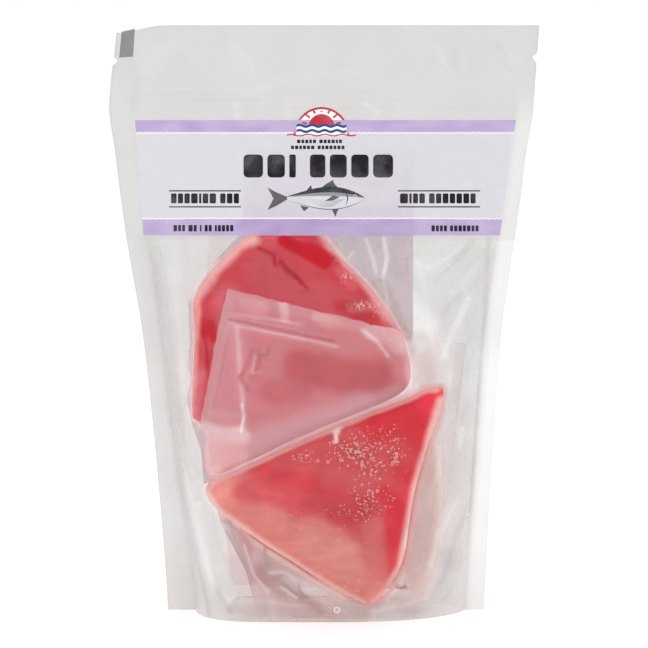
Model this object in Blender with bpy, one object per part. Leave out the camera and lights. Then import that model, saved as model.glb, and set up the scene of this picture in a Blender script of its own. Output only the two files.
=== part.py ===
"""Stand-up pouch of raw tuna steaks, sealed: one closed solid standing on its bottom gusset.

Metres, +Z up, the front face on -Y. The origin is the centre of the bounding box at its foot.
The film and what it holds are one body: side seals and header are thin fins, the middle swells
around the steaks, and two of them stand out in relief on the front.
"""
import bpy
import bmesh
from math import hypot

MM = 0.001

HEIGHT = 285.0
SEAL = 9.0                  # width of the side seals
FIN = 0.7                   # half the thickness of a sealed edge, both films together
SKIRT = 6.5                 # height of the sealed rim under the contents
CORNER_DROP = 3.6           # how far the bent top left corner sits below the top edge
CORNER_RUN = 24.0

# Height, outer half width, half depth, centre line's shift to the right
STATIONS = (
    (0.0, 77.3, 35.5, 0.7),
    (12.0, 78.0, 36.6, 0.7),
    (40.0, 79.7, 36.6, 0.4),
    (63.0, 81.2, 35.2, 0.0),
    (89.0, 83.2, 32.6, -0.3),
    (137.0, 87.5, 27.2, -1.2),
    (176.0, 93.4, 21.2, -1.8),
    (205.0, 97.4, 14.4, -1.8),
    (225.0, 99.8, 8.6, -1.8),
    (241.0, 102.4, 2.6, -1.6),
    (250.0, 102.8, 1.5, -1.3),
    (285.0, 102.2, 0.7, 1.7),
)

# Front outlines of the two visible steaks, x and z
LOWER_STEAK = (
    (56, 112), (24, 101), (-16, 85), (-52, 68), (-56, 63), (-45, 50),
    (-19, 33), (8, 15), (22, 9), (33, 23), (40, 48), (48, 80),
)
UPPER_STEAK = (
    (-1, 187), (-37, 182), (-52, 169), (-61, 155), (-63, 122), (-61, 97),
    (-20, 92), (36, 104), (41, 112), (38, 135), (29, 150), (15, 165),
)
# Rear outlines, seen from the back only as soft swellings
REAR_LOWER = ((-50, 25), (-20, 12), (30, 14), (52, 40), (50, 88), (10, 98), (-44, 84))
REAR_UPPER = ((-46, 104), (0, 92), (50, 100), (56, 140), (30, 172), (-20, 178), (-54, 150))

ZIP_HEIGHTS = (244.5, 248.5, 252.5)
ZIP_RISE = 0.9
NOTCH_HEIGHT = 269.5
NOTCH_HALF = 2.6
NOTCH_DEPTH = 2.4

COLUMNS = 42
BODY_ROWS = 34
HEADER_ROWS = (236.0, 240.0, 243.3, 244.5, 245.7, 247.3, 248.5, 249.7, 251.3, 252.5, 253.7,
               259.0, 266.9, 269.5, 272.1, 278.0, 285.0)
BASE_ROWS = (1.0, 0.9, 0.79, 0.65, 0.3)


def smooth(value):
    """Ease from 0 to 1 with level ends."""
    value = min(max(value, 0.0), 1.0)
    return value * value * (3.0 - 2.0 * value)


def station(z, column):
    """Read one column of the station table at height z, on a smooth curve through its rows."""
    last = len(STATIONS) - 2
    row = min(sum(1 for entry in STATIONS[1:-1] if z >= entry[0]), last)
    before, start = STATIONS[max(row - 1, 0)], STATIONS[row]
    end, after = STATIONS[row + 1], STATIONS[min(row + 2, last + 1)]
    span = end[0] - start[0]
    t = (z - start[0]) / span
    leave = span * (end[column] - before[column]) / (end[0] - before[0])
    arrive = span * (after[column] - start[column]) / (after[0] - start[0])
    return ((2 * t**3 - 3 * t**2 + 1) * start[column] + (t**3 - 2 * t**2 + t) * leave
            + (3 * t**2 - 2 * t**3) * end[column] + (t**3 - t**2) * arrive)


def inside_by(x, z, outline):
    """Distance from a point to a closed outline, positive inside it."""
    nearest, inside = 1e9, False
    for (x0, z0), (x1, z1) in zip(outline, outline[1:] + outline[:1]):
        along = ((x - x0) * (x1 - x0) + (z - z0) * (z1 - z0)) / ((x1 - x0)**2 + (z1 - z0)**2)
        along = min(max(along, 0.0), 1.0)
        nearest = min(nearest, hypot(x - x0 - along * (x1 - x0), z - z0 - along * (z1 - z0)))
        if (z0 > z) != (z1 > z) and x < (x1 - x0) * (z - z0) / (z1 - z0) + x0:
            inside = not inside
    return nearest if inside else -nearest


def seal_width(z, side):
    """Width of the flat edge: the side seal, wider where the gusset's left corner is pinched."""
    spread = 4.5 if side < 0 else 0.5
    return SEAL + spread * smooth((90.0 - z) / 90.0)


def swell(x, z, side):
    """Share of the half depth across the section: flat over the steaks, none at a seal."""
    reach = station(z, 1) - seal_width(z, side)
    across = min(abs(x) / reach, 1.0)
    flat = smooth((215.0 - z) / 90.0)
    low = smooth((60.0 - z) / 60.0)
    if side < 0:
        return (1.0 - across ** (2.2 + 2.4 * flat + 1.2 * low)) ** (1.0 - 0.4 * flat)
    return (1.0 - across ** (2.2 + 2.4 * flat - 2.0 * low)) ** (1.0 - 0.4 * flat + 0.1 * low)


def half_depth(x, z, front):
    """Depth of the front or the back film from the middle plane."""
    side = -1 if x < 0 else 1
    depth = FIN + (station(z, 2) - FIN) * swell(x, z, side)
    foot = smooth((z - 2.0) / 16.0)
    if front:
        rises = (2.4 * smooth((inside_by(x, z, LOWER_STEAK) + 5.0) / 9.0),
                 1.3 * smooth((inside_by(x, z, UPPER_STEAK) + 6.0) / 10.0))
    else:
        rises = (1.8 * smooth((inside_by(x, z, REAR_LOWER) + 8.0) / 14.0),
                 1.8 * smooth((inside_by(x, z, REAR_UPPER) + 8.0) / 14.0))
    depth += foot * max(rises)
    across = abs(x) / (station(z, 1) - SEAL)
    if across < 1.0 and any(abs(z - ridge) < 0.5 for ridge in ZIP_HEIGHTS):
        depth += ZIP_RISE
    return depth


def across_places():
    """Column places: 1 to 2 lies across the side seal, below 1 across the swollen middle."""
    count = COLUMNS - 4
    middle = [2.0 * index / count - 1.0 for index in range(count + 1)]
    return [-2.0, -1.5] + middle + [1.5, 2.0]


def place_across(share, z):
    """Turn a column place into a distance from the centre line at height z."""
    side = -1.0 if share < 0 else 1.0
    half = station(z, 1)
    reach = half - seal_width(z, side)
    if abs(share) <= 1.0:
        return share * reach
    if abs(share) == 2.0:
        half -= NOTCH_DEPTH * max(0.0, 1.0 - abs(z - NOTCH_HEIGHT) / NOTCH_HALF)
    return side * (reach + (abs(share) - 1.0) * (half - reach))


def wall_point(share, z, front):
    """A point on the front or back film."""
    x = place_across(share, z)
    depth = half_depth(x, z, front)
    from_corner = station(z, 1) + x
    drop = CORNER_DROP * smooth(1.0 - from_corner / CORNER_RUN) * smooth((z - 255.0) / 30.0)
    y = -depth if front else depth
    return x + station(z, 3), y, z - drop


def base_point(share, across):
    """A point on the underside: a flat rim, a groove inside it and the sagging gusset."""
    x = place_across(share, 0.0)
    edge = half_depth(x, 0.0, across < 0)
    groove = smooth((1.0 - abs(across)) / 0.2) * smooth((abs(across) - 0.3) / 0.35)
    ends = smooth((56.0 - abs(x)) / 18.0)
    return x + station(0.0, 3), across * edge, 2.2 * groove * ends


def build_pouch():
    """Wrap one grid down the front, under the base and up the back, then close its edges."""
    columns = across_places()
    body = [HEADER_ROWS[0] * index / BODY_ROWS for index in range(BODY_ROWS)]
    heights = body + list(HEADER_ROWS)
    under = [-row for row in BASE_ROWS[1:]] + [row for row in reversed(BASE_ROWS[1:])]
    rows = ([("front", z) for z in reversed(heights)] + [("base", row) for row in under]
            + [("back", z) for z in heights])

    mesh = bmesh.new()
    across, down = len(columns) - 1, len(rows) - 1
    bmesh.ops.create_grid(mesh, x_segments=across, y_segments=down, size=1.0)
    grid = {}
    for vertex in mesh.verts:
        column = round((vertex.co.x + 1.0) / 2.0 * across)
        row = round((vertex.co.y + 1.0) / 2.0 * down)
        grid[column, row] = vertex
    for (column, row), vertex in grid.items():
        part, place = rows[row]
        share = columns[column]
        if part == "base":
            vertex.co = base_point(share, place)
        else:
            vertex.co = wall_point(share, place, part == "front")

    for column in range(across):
        mesh.faces.new((grid[column, 0], grid[column + 1, 0],
                        grid[column + 1, down], grid[column, down]))
    for column in (0, across):
        for row in range(down // 2):
            mesh.faces.new((grid[column, row], grid[column, row + 1],
                            grid[column, down - row - 1], grid[column, down - row]))
    bmesh.ops.recalc_face_normals(mesh, faces=mesh.faces)
    return mesh


def centre_on_foot(mesh):
    """Move the body so that its box stands centred on the origin, and turn it to metres."""
    lows = [min(vertex.co[axis] for vertex in mesh.verts) for axis in range(3)]
    highs = [max(vertex.co[axis] for vertex in mesh.verts) for axis in range(3)]
    shift = (-(lows[0] + highs[0]) / 2, -(lows[1] + highs[1]) / 2, -lows[2])
    bmesh.ops.translate(mesh, verts=mesh.verts, vec=shift)
    bmesh.ops.scale(mesh, verts=mesh.verts, vec=(MM, MM, MM))


def add_node(name, mesh, colour, roughness):
    """Turn a bmesh into an object with its own material."""
    data = bpy.data.meshes.new(name)
    mesh.to_mesh(data)
    mesh.free()
    material = bpy.data.materials.new(name)
    material.use_nodes = True
    shader = material.node_tree.nodes["Principled BSDF"]
    shader.inputs["Base Color"].default_value = (*colour, 1.0)
    shader.inputs["Roughness"].default_value = roughness
    data.materials.append(material)
    node = bpy.data.objects.new(name, data)
    bpy.context.scene.collection.objects.link(node)
    return node


for old in list(bpy.data.objects):
    bpy.data.objects.remove(old, do_unlink=True)

pouch = build_pouch()
centre_on_foot(pouch)
add_node("pouch", pouch, (0.62, 0.27, 0.28), 0.3)
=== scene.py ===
# %% [markdown]
# # Raw tuna steaks in a clear stand-up pouch
#
# The real thing is a milky clear pouch that stands on its opened bottom gusset. It holds red
# tuna steaks, each in its own vacuum bag. This lesson builds it from the outside in: the pouch
# film first, then the print on it, then the steaks and their bags, and last the light.
# Everything is measured in millimetres and turned to metres when a mesh is finished.

# %% Load the fixed frame
import random
from collections import namedtuple
from math import atan2, ceil, cos, exp, floor, hypot, pi, radians, sin, sqrt

import bpy
import bmesh
from mathutils import Matrix, Vector, noise


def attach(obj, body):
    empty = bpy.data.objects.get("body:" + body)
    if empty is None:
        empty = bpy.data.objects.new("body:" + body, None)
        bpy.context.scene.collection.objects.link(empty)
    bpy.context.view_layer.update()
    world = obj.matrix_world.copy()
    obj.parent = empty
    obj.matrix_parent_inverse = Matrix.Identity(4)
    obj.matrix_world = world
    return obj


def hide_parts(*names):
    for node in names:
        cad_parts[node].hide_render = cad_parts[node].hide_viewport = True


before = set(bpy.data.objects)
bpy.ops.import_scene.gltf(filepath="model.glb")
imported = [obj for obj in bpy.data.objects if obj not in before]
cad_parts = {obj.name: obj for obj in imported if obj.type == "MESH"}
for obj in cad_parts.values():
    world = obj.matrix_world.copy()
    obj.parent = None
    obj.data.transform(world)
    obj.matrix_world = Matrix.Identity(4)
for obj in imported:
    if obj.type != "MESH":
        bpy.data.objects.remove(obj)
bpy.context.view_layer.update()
MM = 0.001

# %% [markdown]
# ## The pouch's form
#
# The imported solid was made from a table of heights: how wide and how deep the pouch is at each.
# The film repeats that table, so it lies where the solid lies, only finer. A smooth curve runs
# through the rows, because a film under load has no corners between its seals.

# %% Stations up the pouch
# Height, outer half width, half depth, centre line's shift to the right
STATIONS = (
    (0.0, 77.3, 35.5, 0.7), (12.0, 78.0, 36.6, 0.7), (40.0, 79.7, 36.6, 0.4),
    (63.0, 81.2, 35.2, 0.0), (89.0, 83.2, 32.6, -0.3), (137.0, 87.5, 27.2, -1.2),
    (176.0, 93.4, 21.2, -1.8), (205.0, 97.4, 14.4, -1.8), (225.0, 99.8, 8.6, -1.8),
    (241.0, 102.4, 2.6, -1.6), (250.0, 102.8, 1.5, -1.3), (285.0, 102.2, 0.7, 1.7),
)
# Front and rear outlines of the steaks that push the film out, x and z
LOWER_STEAK = (
    (56, 112), (24, 101), (-16, 85), (-52, 68), (-56, 63), (-45, 50),
    (-19, 33), (8, 15), (22, 9), (33, 23), (40, 48), (48, 80),
)
UPPER_STEAK = (
    (-1, 187), (-37, 182), (-52, 169), (-61, 155), (-63, 122), (-61, 97),
    (-20, 92), (36, 104), (41, 112), (38, 135), (29, 150), (15, 165),
)
REAR_LOWER = ((-50, 25), (-20, 12), (30, 14), (52, 40), (50, 88), (10, 98), (-44, 84))
REAR_UPPER = ((-46, 104), (0, 92), (50, 100), (56, 140), (30, 172), (-20, 178), (-54, 150))

HEIGHT = 285.0
SEAL = 9.0
WELD = 0.2                  # half the thickness of the two welded films
ZIP_HEIGHTS = (244.5, 248.5, 252.5)
ZIP_RISE = 0.8
NOTCH_HEIGHT, NOTCH_HALF, NOTCH_DEPTH = 269.5, 2.6, 2.4
CORNER_DROP, CORNER_RUN = 3.6, 24.0
PINCH = {-1: 4.5, 1: 0.5}   # how much wider the left and the right seal are at the foot
PINCH_TOP = 90.0            # the height where they are plain again


def smooth(value):
    """Ease from 0 to 1 with level ends."""
    value = min(max(value, 0.0), 1.0)
    return value * value * (3.0 - 2.0 * value)


def station(z, column):
    """Read one column of the table at height z, on a smooth curve through its rows."""
    last = len(STATIONS) - 2
    row = min(sum(1 for entry in STATIONS[1:-1] if z >= entry[0]), last)
    before, start = STATIONS[max(row - 1, 0)], STATIONS[row]
    end, after = STATIONS[row + 1], STATIONS[min(row + 2, last + 1)]
    span = end[0] - start[0]
    t = (z - start[0]) / span
    leave = span * (end[column] - before[column]) / (end[0] - before[0])
    arrive = span * (after[column] - start[column]) / (after[0] - start[0])
    return ((2 * t**3 - 3 * t**2 + 1) * start[column] + (t**3 - 2 * t**2 + t) * leave
            + (3 * t**2 - 2 * t**3) * end[column] + (t**3 - t**2) * arrive)


def inside_by(x, z, outline):
    """Distance from a point to a closed outline, positive inside it."""
    nearest, inside = 1e9, False
    x0, z0 = outline[-1]
    for x1, z1 in outline:
        run, rise = x1 - x0, z1 - z0
        along = ((x - x0) * run + (z - z0) * rise) / (run * run + rise * rise)
        along = 0.0 if along < 0.0 else 1.0 if along > 1.0 else along
        away = (x - x0 - along * run) ** 2 + (z - z0 - along * rise) ** 2
        nearest = away if away < nearest else nearest
        if (z0 > z) != (z1 > z) and x < run * (z - z0) / rise + x0:
            inside = not inside
        x0, z0 = x1, z1
    return sqrt(nearest) if inside else -sqrt(nearest)


# %% [markdown]
# ## Where a photo pixel lies
#
# The photo is 648 pixels square, taken from straight in front with the lens a little above the
# pouch's middle. Widths at the top and bottom edges, and how far the front rim dips below the
# corners, give the distance and the height of the lens. Two small functions then go both ways
# between a pixel and a point on the pouch, so that marks can be placed where they were seen.

# %% Camera place, pixel to point and back
FOCAL = 2670.0              # focal length in photo pixels
DISTANCE = 1300.0
RISE = radians(3.53)
AIM = (0.0, 0.0, 140.3)
HALF_FRAME = 324.0
EYE_Y = AIM[1] - DISTANCE * cos(RISE)
EYE_Z = AIM[2] + DISTANCE * sin(RISE)


def seal_width(z, side):
    """Width of the flat edge: the side seal, wider where the gusset's left corner is pinched."""
    return SEAL + PINCH[-1 if side < 0 else 1] * smooth((PINCH_TOP - z) / PINCH_TOP)


def swell(x, z, side):
    """Share of the half depth across the section: flat over the steaks, none at a seal."""
    reach = station(z, 1) - seal_width(z, side)
    across = min(abs(x) / reach, 1.0)
    flat = smooth((215.0 - z) / 90.0)
    low = smooth((60.0 - z) / 60.0)
    if side < 0:
        return (1.0 - across ** (2.2 + 2.4 * flat + 1.2 * low)) ** (1.0 - 0.4 * flat)
    return (1.0 - across ** (2.2 + 2.4 * flat - 2.0 * low)) ** (1.0 - 0.4 * flat + 0.1 * low)


def half_depth(x, z, front):
    """Depth of the front or the back film from the middle plane; x is from the centre line."""
    side = -1 if x < 0 else 1
    depth = WELD + (station(z, 2) - WELD) * swell(x, z, side)
    foot = smooth((z - 2.0) / 16.0)
    if front:
        rises = (2.4 * smooth((inside_by(x, z, LOWER_STEAK) + 5.0) / 9.0),
                 1.3 * smooth((inside_by(x, z, UPPER_STEAK) + 6.0) / 10.0))
    else:
        rises = (1.8 * smooth((inside_by(x, z, REAR_LOWER) + 8.0) / 14.0),
                 1.8 * smooth((inside_by(x, z, REAR_UPPER) + 8.0) / 14.0))
    return depth + foot * max(rises)


def foot_centre():
    """Shift that puts the form's box centre over the origin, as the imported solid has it."""
    heights = [HEIGHT * step / 95 for step in range(96)]
    left = min(station(z, 3) - station(z, 1) for z in heights)
    right = max(station(z, 3) + station(z, 1) for z in heights)
    middle = [step * 4.0 - 60.0 for step in range(31)]
    front = max(half_depth(x, z, True) for x in middle for z in heights)
    back = max(half_depth(x, z, False) for x in middle for z in heights)
    return -(left + right) / 2, (front - back) / 2


SHIFT_X, SHIFT_Y = foot_centre()
print("shift to the foot's centre", round(SHIFT_X, 2), round(SHIFT_Y, 2))


def pixel_of(x, y, z):
    """Photo pixel that shows a point, from its place in millimetres before the shift."""
    forward = y + SHIFT_Y - EYE_Y
    up = z - EYE_Z
    depth = forward * cos(RISE) - up * sin(RISE)
    return (HALF_FRAME + FOCAL * (x + SHIFT_X) / depth,
            HALF_FRAME - FOCAL * (forward * sin(RISE) + up * cos(RISE)) / depth)


def at_depth(u, v, y):
    """The point at depth y that a photo pixel shows."""
    rise = HALF_FRAME - v
    reach = (y + SHIFT_Y - EYE_Y) / (FOCAL * cos(RISE) + rise * sin(RISE))
    return (reach * (u - HALF_FRAME) - SHIFT_X, y,
            EYE_Z + reach * (rise * cos(RISE) - FOCAL * sin(RISE)))


# %% [markdown]
# ## Creases in the film
#
# A heavy pouch film creases where it is pulled over its contents and where the gusset's corner
# seals hold it in. Each crease is a soft ridge or groove along a line that was seen in the photo.
# Between them the film waves gently, which a low noise gives.

# %% Soft lines and the film's own relief
Crease = namedtuple("Crease", "points height width box")


def box_round(points, room):
    """Lowest and highest u and v that lie within reach of some points."""
    return (min(u for u, _ in points) - room, max(u for u, _ in points) + room,
            min(v for _, v in points) - room, max(v for _, v in points) + room)


def crease(points, height, width):
    """A ridge, or a groove where height is negative, along a line of photo pixels."""
    return Crease(points, height, width, box_round(points, 2.5 * width))


def creases(*rows):
    """A table of creases: each row's points, height and width."""
    return tuple(crease(*row) for row in rows)


def within(u, v, box):
    """Whether a place lies in a box, a quick test before a slow one."""
    return box[0] < u < box[1] and box[2] < v < box[3]


def from_line(u, v, points):
    """Distance from a place to a line of points, or to a single point."""
    u0, v0 = points[0]
    nearest = (u - u0) ** 2 + (v - v0) ** 2
    for u1, v1 in points[1:]:
        run, drop = u1 - u0, v1 - v0
        along = ((u - u0) * run + (v - v0) * drop) / (run * run + drop * drop)
        along = 0.0 if along < 0.0 else 1.0 if along > 1.0 else along
        nearest = min(nearest, (u - u0 - along * run) ** 2 + (v - v0 - along * drop) ** 2)
        u0, v0 = u1, v1
    return sqrt(nearest)


def relief(u, v, folds):
    """Sum of the creases' heights at a place."""
    total = 0.0
    for fold in folds:
        if within(u, v, fold.box):
            away = from_line(u, v, fold.points) / fold.width
            total += fold.height * exp(-away * away)
    return total


FRONT_CREASES = creases(
    # The corner seals' inner edges, left and right
    (((150, 250), (155, 269), (154, 281), (160, 303), (158, 320), (160, 345)), -0.7, 2.6),
    (((160, 345), (168, 411), (177, 444), (181, 478), (189, 522), (196, 556), (206, 597),
      (210, 614)), -1.0, 2.8),
    (((174, 430), (186, 478), (197, 530), (210, 580)), 0.6, 4.0),
    (((178, 500), (186, 548), (200, 606)), -0.35, 1.8),
    (((489, 238), (485, 302), (484, 354), (479, 393), (475, 445), (472, 496), (462, 522),
      (452, 548), (444, 574), (437, 590), (414, 615)), -0.9, 2.8),
    (((456, 500), (440, 536), (430, 566)), 0.7, 4.0),
    (((436, 590), (424, 604), (411, 617)), 0.7, 2.2),
    # Slack folds right of the steaks
    (((474, 240), (456, 260), (435, 281)), -0.8, 2.6),
    (((462, 246), (446, 258), (428, 268)), 0.7, 3.0),
    (((480, 262), (462, 284), (452, 292)), 0.6, 4.0),
    (((460, 294), (450, 304), (443, 314)), -0.8, 3.6),
    (((468, 298), (458, 322), (448, 342), (444, 356)), 0.9, 4.4),
    (((472, 330), (466, 352), (468, 372)), -0.4, 3.0),
    (((418, 262), (424, 292), (434, 330), (446, 362)), 0.5, 4.0),
    (((430, 312), (436, 338), (446, 366)), -0.4, 2.2),
    (((449, 366), (450, 384), (444, 398)), 0.5, 2.4),
    (((462, 428), (459, 446)), 0.9, 3.2),
    (((446, 420), (440, 462), (430, 506)), 0.5, 3.6),
    (((456, 440), (450, 486), (438, 520), (426, 560)), -0.4, 3.0),
    # Left of the steaks
    (((168, 262), (176, 300), (180, 340), (186, 390)), 0.45, 5.0),
    (((176, 240), (160, 250), (166, 262)), -0.3, 4.0),
    (((198, 505), (204, 545), (214, 590)), 0.55, 4.0),
    (((212, 524), (226, 560), (234, 588)), -0.3, 3.0),
    # Folds of the gusset along the foot
    (((217, 590), (225, 604), (230, 612)), -0.9, 2.2),
    (((230, 612), (236, 600), (241, 591)), -0.8, 2.0),
    (((224, 596), (231, 600), (236, 594)), 0.6, 2.0),
    (((248, 600), (300, 606), (345, 611)), 0.4, 2.6),
    (((350, 600), (368, 608), (396, 598), (420, 592)), -0.5, 2.4),
    (((404, 574), (396, 590), (386, 600)), 0.8, 1.6),
    (((372, 612), (400, 606), (428, 598)), 0.5, 2.2),
)
HEADER_CREASES = creases(
    (((190, 99.5), (225, 100), (262, 99)), -0.35, 1.2),
    (((112, 90), (180, 89), (250, 91)), 0.22, 1.4),
    (((250, 92), (300, 76), (360, 70)), 0.25, 6.0),
    (((236, 48), (248, 60), (252, 72)), 0.35, 5.0),
    (((438, 46), (446, 66)), 0.4, 4.0),
    (((462, 52), (464, 66)), 0.4, 2.6),
    (((452, 50), (456, 68)), -0.3, 2.6),
    (((496, 42), (508, 56)), -0.4, 2.6),
    (((500, 60), (514, 72)), -0.35, 2.6),
    (((506, 50), (520, 62)), 0.4, 3.0),
    (((128, 46), (136, 80), (132, 110)), -0.3, 7.0),
    (((236, 104), (238, 117)), 0.5, 4.0),
    (((286, 103), (289, 117)), 0.5, 3.0),
    (((366, 104), (378, 112), (372, 119)), 0.5, 3.4),
    (((160, 50), (178, 44), (200, 60)), 0.25, 7.0),
)
BAND_FOOT = 236             # photo height of the printed band's lower edge
WAVE, RIPPLE, HEADER_WAVE, REAR_WAVE = 0.7, 0.16, 0.15, 0.5
SEAL_SHARE = 0.25           # how much of a crease's height is left on the flat seals


def front_folds(v):
    """The table of creases for a height in the photo."""
    return FRONT_CREASES if v > BAND_FOOT else HEADER_CREASES


def film_depth(x, z, front):
    """Depth of the outer film with its waves and creases, x from the centre line."""
    depth = half_depth(x, z, front)
    inner = smooth((station(z, 1) - SEAL - abs(x)) / 12.0) * smooth((z - 4.0) / 14.0)
    wave = noise.noise(Vector((x / 21.0, z / 34.0, 0.0 if front else 9.0)))
    ripple = noise.noise(Vector((x / 8.0, z / 15.0, 3.0 if front else 12.0)))
    body = smooth((238.0 - z) / 25.0)
    header = (1.0 - body) * HEADER_WAVE * wave
    depth += inner * (body * (WAVE * wave + RIPPLE * ripple) + header)
    if front:
        u, v = pixel_of(x + station(z, 3), -depth, z)
        depth += relief(u, v, front_folds(v)) * max(inner, SEAL_SHARE)
    else:
        depth += inner * REAR_WAVE * noise.noise(Vector((x / 30.0 + z / 40.0, z / 60.0, 5.0)))
    if abs(x) < station(z, 1) - SEAL:
        depth += sum(ZIP_RISE * exp(-((z - ridge) / 0.8) ** 2) for ridge in ZIP_HEIGHTS)
    return max(depth, WELD)


def on_film(u, v, behind=0.0):
    """The point behind the pouch's front film that a photo pixel shows."""
    y = -20.0
    for _ in range(6):
        x, _, z = at_depth(u, v, y)
        y = behind - film_depth(x - station(z, 3), z, True)
    x, _, z = at_depth(u, v, y)
    return x, y, z


# %% [markdown]
# ## Colours and painted marks
#
# Flesh and film aren't one colour, so each piece carries a painted colour on its vertices. A
# painted mark is a soft dab along a line. Colours are written as the hex values read in the photo,
# and one function turns them to linear light.

# %% Colour helpers
def linear(code):
    """Turn an sRGB hex colour to linear red, green and blue."""
    channels = [int(code[place:place + 2], 16) / 255.0 for place in (1, 3, 5)]
    return tuple(c / 12.92 if c <= 0.04045 else ((c + 0.055) / 1.055) ** 2.4 for c in channels)


def blend_to(colour, other, share):
    """Mix a colour towards another."""
    return tuple(a + (b - a) * share for a, b in zip(colour, other))


Mark = namedtuple("Mark", "points radius soft tone strength box")


def mark(points, radius, soft, tone, strength=1.0):
    """A soft dab: full within the radius, gone at radius plus soft, tone as hex or a number."""
    value = linear(tone) if isinstance(tone, str) else tone
    return Mark(points, radius, soft, value, strength, box_round(points, radius + soft + 5.0))


def dab_share(u, v, dab, wobble=0.0):
    """How strongly a mark covers a place, from 0 to its strength."""
    if not within(u, v, dab.box):
        return 0.0
    away = from_line(u, v, dab.points) + wobble
    return dab.strength * smooth((dab.radius + dab.soft - away) / dab.soft)


def painted(u, v, colour, dabs, wobble=0.0):
    """Lay marks over a colour at a place."""
    for dab in dabs:
        share = dab_share(u, v, dab, wobble)
        if share > 0.0:
            colour = blend_to(colour, dab.tone, share)
    return colour


def valued(u, v, value, dabs):
    """Lay marks that hold a single number over a value at a place."""
    for dab in dabs:
        value += (dab.tone - value) * dab_share(u, v, dab)
    return value


def marks(*rows):
    """A table of marks: each row's points, radius, soft edge, tone and strength."""
    return tuple(mark(*row) for row in rows)


# %% [markdown]
# ## Finishing a piece
#
# A bmesh in millimetres becomes an object here: it is shifted over the origin, scaled to metres,
# shaded smooth, given its material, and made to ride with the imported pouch.

# %% Helpers for nodes, materials, painted meshes and pieces
def add_node(tree, kind, settings=None, **links):
    """Add a shader node, set its properties and inputs, and link inputs to other nodes' outputs."""
    node = tree.nodes.new(kind)
    for key, value in (settings or {}).items():
        if isinstance(key, str) and hasattr(node, key):
            setattr(node, key, value)
        else:
            node.inputs[key].default_value = value
    for key, source in links.items():
        target = node.inputs[int(key[1:])] if key[1:].isdigit() else node.inputs[
            key.replace("_", " ")]
        tree.links.new(target, source)
    return node


def noise_node(tree, vector, grain_mm, detail, rough=0.5):
    """A noise with grains of about so many millimetres."""
    return add_node(tree, "ShaderNodeTexNoise", {"Scale": 1.0 / (grain_mm * MM), "Detail": detail,
                                                 "Roughness": rough}, Vector=vector)


def new_material(name, settings):
    """A material with its Principled shader's constants set, its tree and that shader."""
    material = bpy.data.materials.new(name)
    material.use_nodes = True
    shader = material.node_tree.nodes["Principled BSDF"]
    for key, value in settings.items():
        shader.inputs[key].default_value = value
    return material, material.node_tree, shader


def mottled_material(name, grain_mm, dark, pale, settings):
    """A material whose colour drifts from a dark to a pale tone with a noise."""
    material, tree, shader = new_material(name, settings)
    place = add_node(tree, "ShaderNodeTexCoord").outputs["Object"]
    drift = noise_node(tree, place, grain_mm, 2.0)
    colour = add_node(tree, "ShaderNodeMix", {"data_type": "RGBA", 6: (*linear(dark), 1.0),
                                              7: (*linear(pale), 1.0)}, i0=drift.outputs["Fac"])
    tree.links.new(shader.inputs["Base Color"], colour.outputs[2])
    return material


def add_object(name, data):
    """Make an object of some data and link it to the scene."""
    thing = bpy.data.objects.new(name, data)
    bpy.context.scene.collection.objects.link(thing)
    return thing


def film_mesh():
    """An empty bmesh, and its vertex layers for a painted tone and veil."""
    mesh = bmesh.new()
    return mesh, mesh.verts.layers.float_color.new("tone"), mesh.verts.layers.float.new("veil")


def finish_piece(mesh, name, material, thin=False):
    """Shift, scale and link a bmesh as a piece that rides with the pouch."""
    bmesh.ops.translate(mesh, verts=mesh.verts, vec=(SHIFT_X, SHIFT_Y, 0.0))
    bmesh.ops.scale(mesh, verts=mesh.verts, vec=(MM, MM, MM))
    for face in mesh.faces:
        face.smooth = True
    data = bpy.data.meshes.new(name)
    mesh.to_mesh(data)
    mesh.free()
    data.materials.append(material)
    piece = add_object(name, data)
    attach(piece, "root")
    # A thin milky film scatters nearly all light onwards, so it casts no shadow
    piece.visible_shadow = piece.visible_diffuse = not thin
    print(name, len(data.polygons), "faces")
    return piece


# %% [markdown]
# ## The film's finish
#
# The pouch is a laminate of nylon and polyethylene, cast and slightly milky. It scatters light
# where air lies behind it, and turns clear where wet contents cling to its inside. Painted vertices
# therefore hold two things: a veil, which is how much the film hides, and a tone, which also
# carries painted shade and highlights along the folds.

# %% Film material
def film_material(name, rough, gloss, grain_mm):
    """Milky clear film: painted veil and tone, with a faint cast grain."""
    material, tree, shader = new_material(name, {
        "Roughness": rough, "IOR": 1.5, "Specular IOR Level": gloss})
    tone = add_node(tree, "ShaderNodeAttribute", {"attribute_name": "tone"})
    veil = add_node(tree, "ShaderNodeAttribute", {"attribute_name": "veil"})
    place = add_node(tree, "ShaderNodeTexCoord").outputs["Object"]
    haze = noise_node(tree, place, grain_mm * 12, 3.0)
    spread = add_node(tree, "ShaderNodeMapRange", {1: 0.3, 2: 0.7, 3: 0.92, 4: 1.08},
                      Value=haze.outputs["Fac"])
    cover = add_node(tree, "ShaderNodeMath", {"operation": "MULTIPLY", "use_clamp": True},
                     i0=veil.outputs["Fac"], i1=spread.outputs["Result"])
    grain = noise_node(tree, place, grain_mm, 2.0)
    bump = add_node(tree, "ShaderNodeBump", {"Strength": 0.25, "Distance": 0.15 * MM},
                    Height=grain.outputs["Fac"])
    tree.links.new(shader.inputs["Base Color"], tone.outputs["Color"])
    tree.links.new(shader.inputs["Alpha"], cover.outputs["Value"])
    tree.links.new(shader.inputs["Normal"], bump.outputs["Normal"])
    return material


pouch_film = film_material("cast_nylon_film", 0.34, 0.8, 2.2)
bag_film = film_material("vacuum_bag_film", 0.22, 0.9, 1.4)

# %% [markdown]
# ## The outer film
#
# The film is one grid wrapped round the pouch: down the front, under the base and up the back.
# Its columns follow the seals' inner edges, and its rows crowd together at the zip. One closed
# skin is simpler than separate panels, and light passes through two layers as in the real one.

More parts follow.
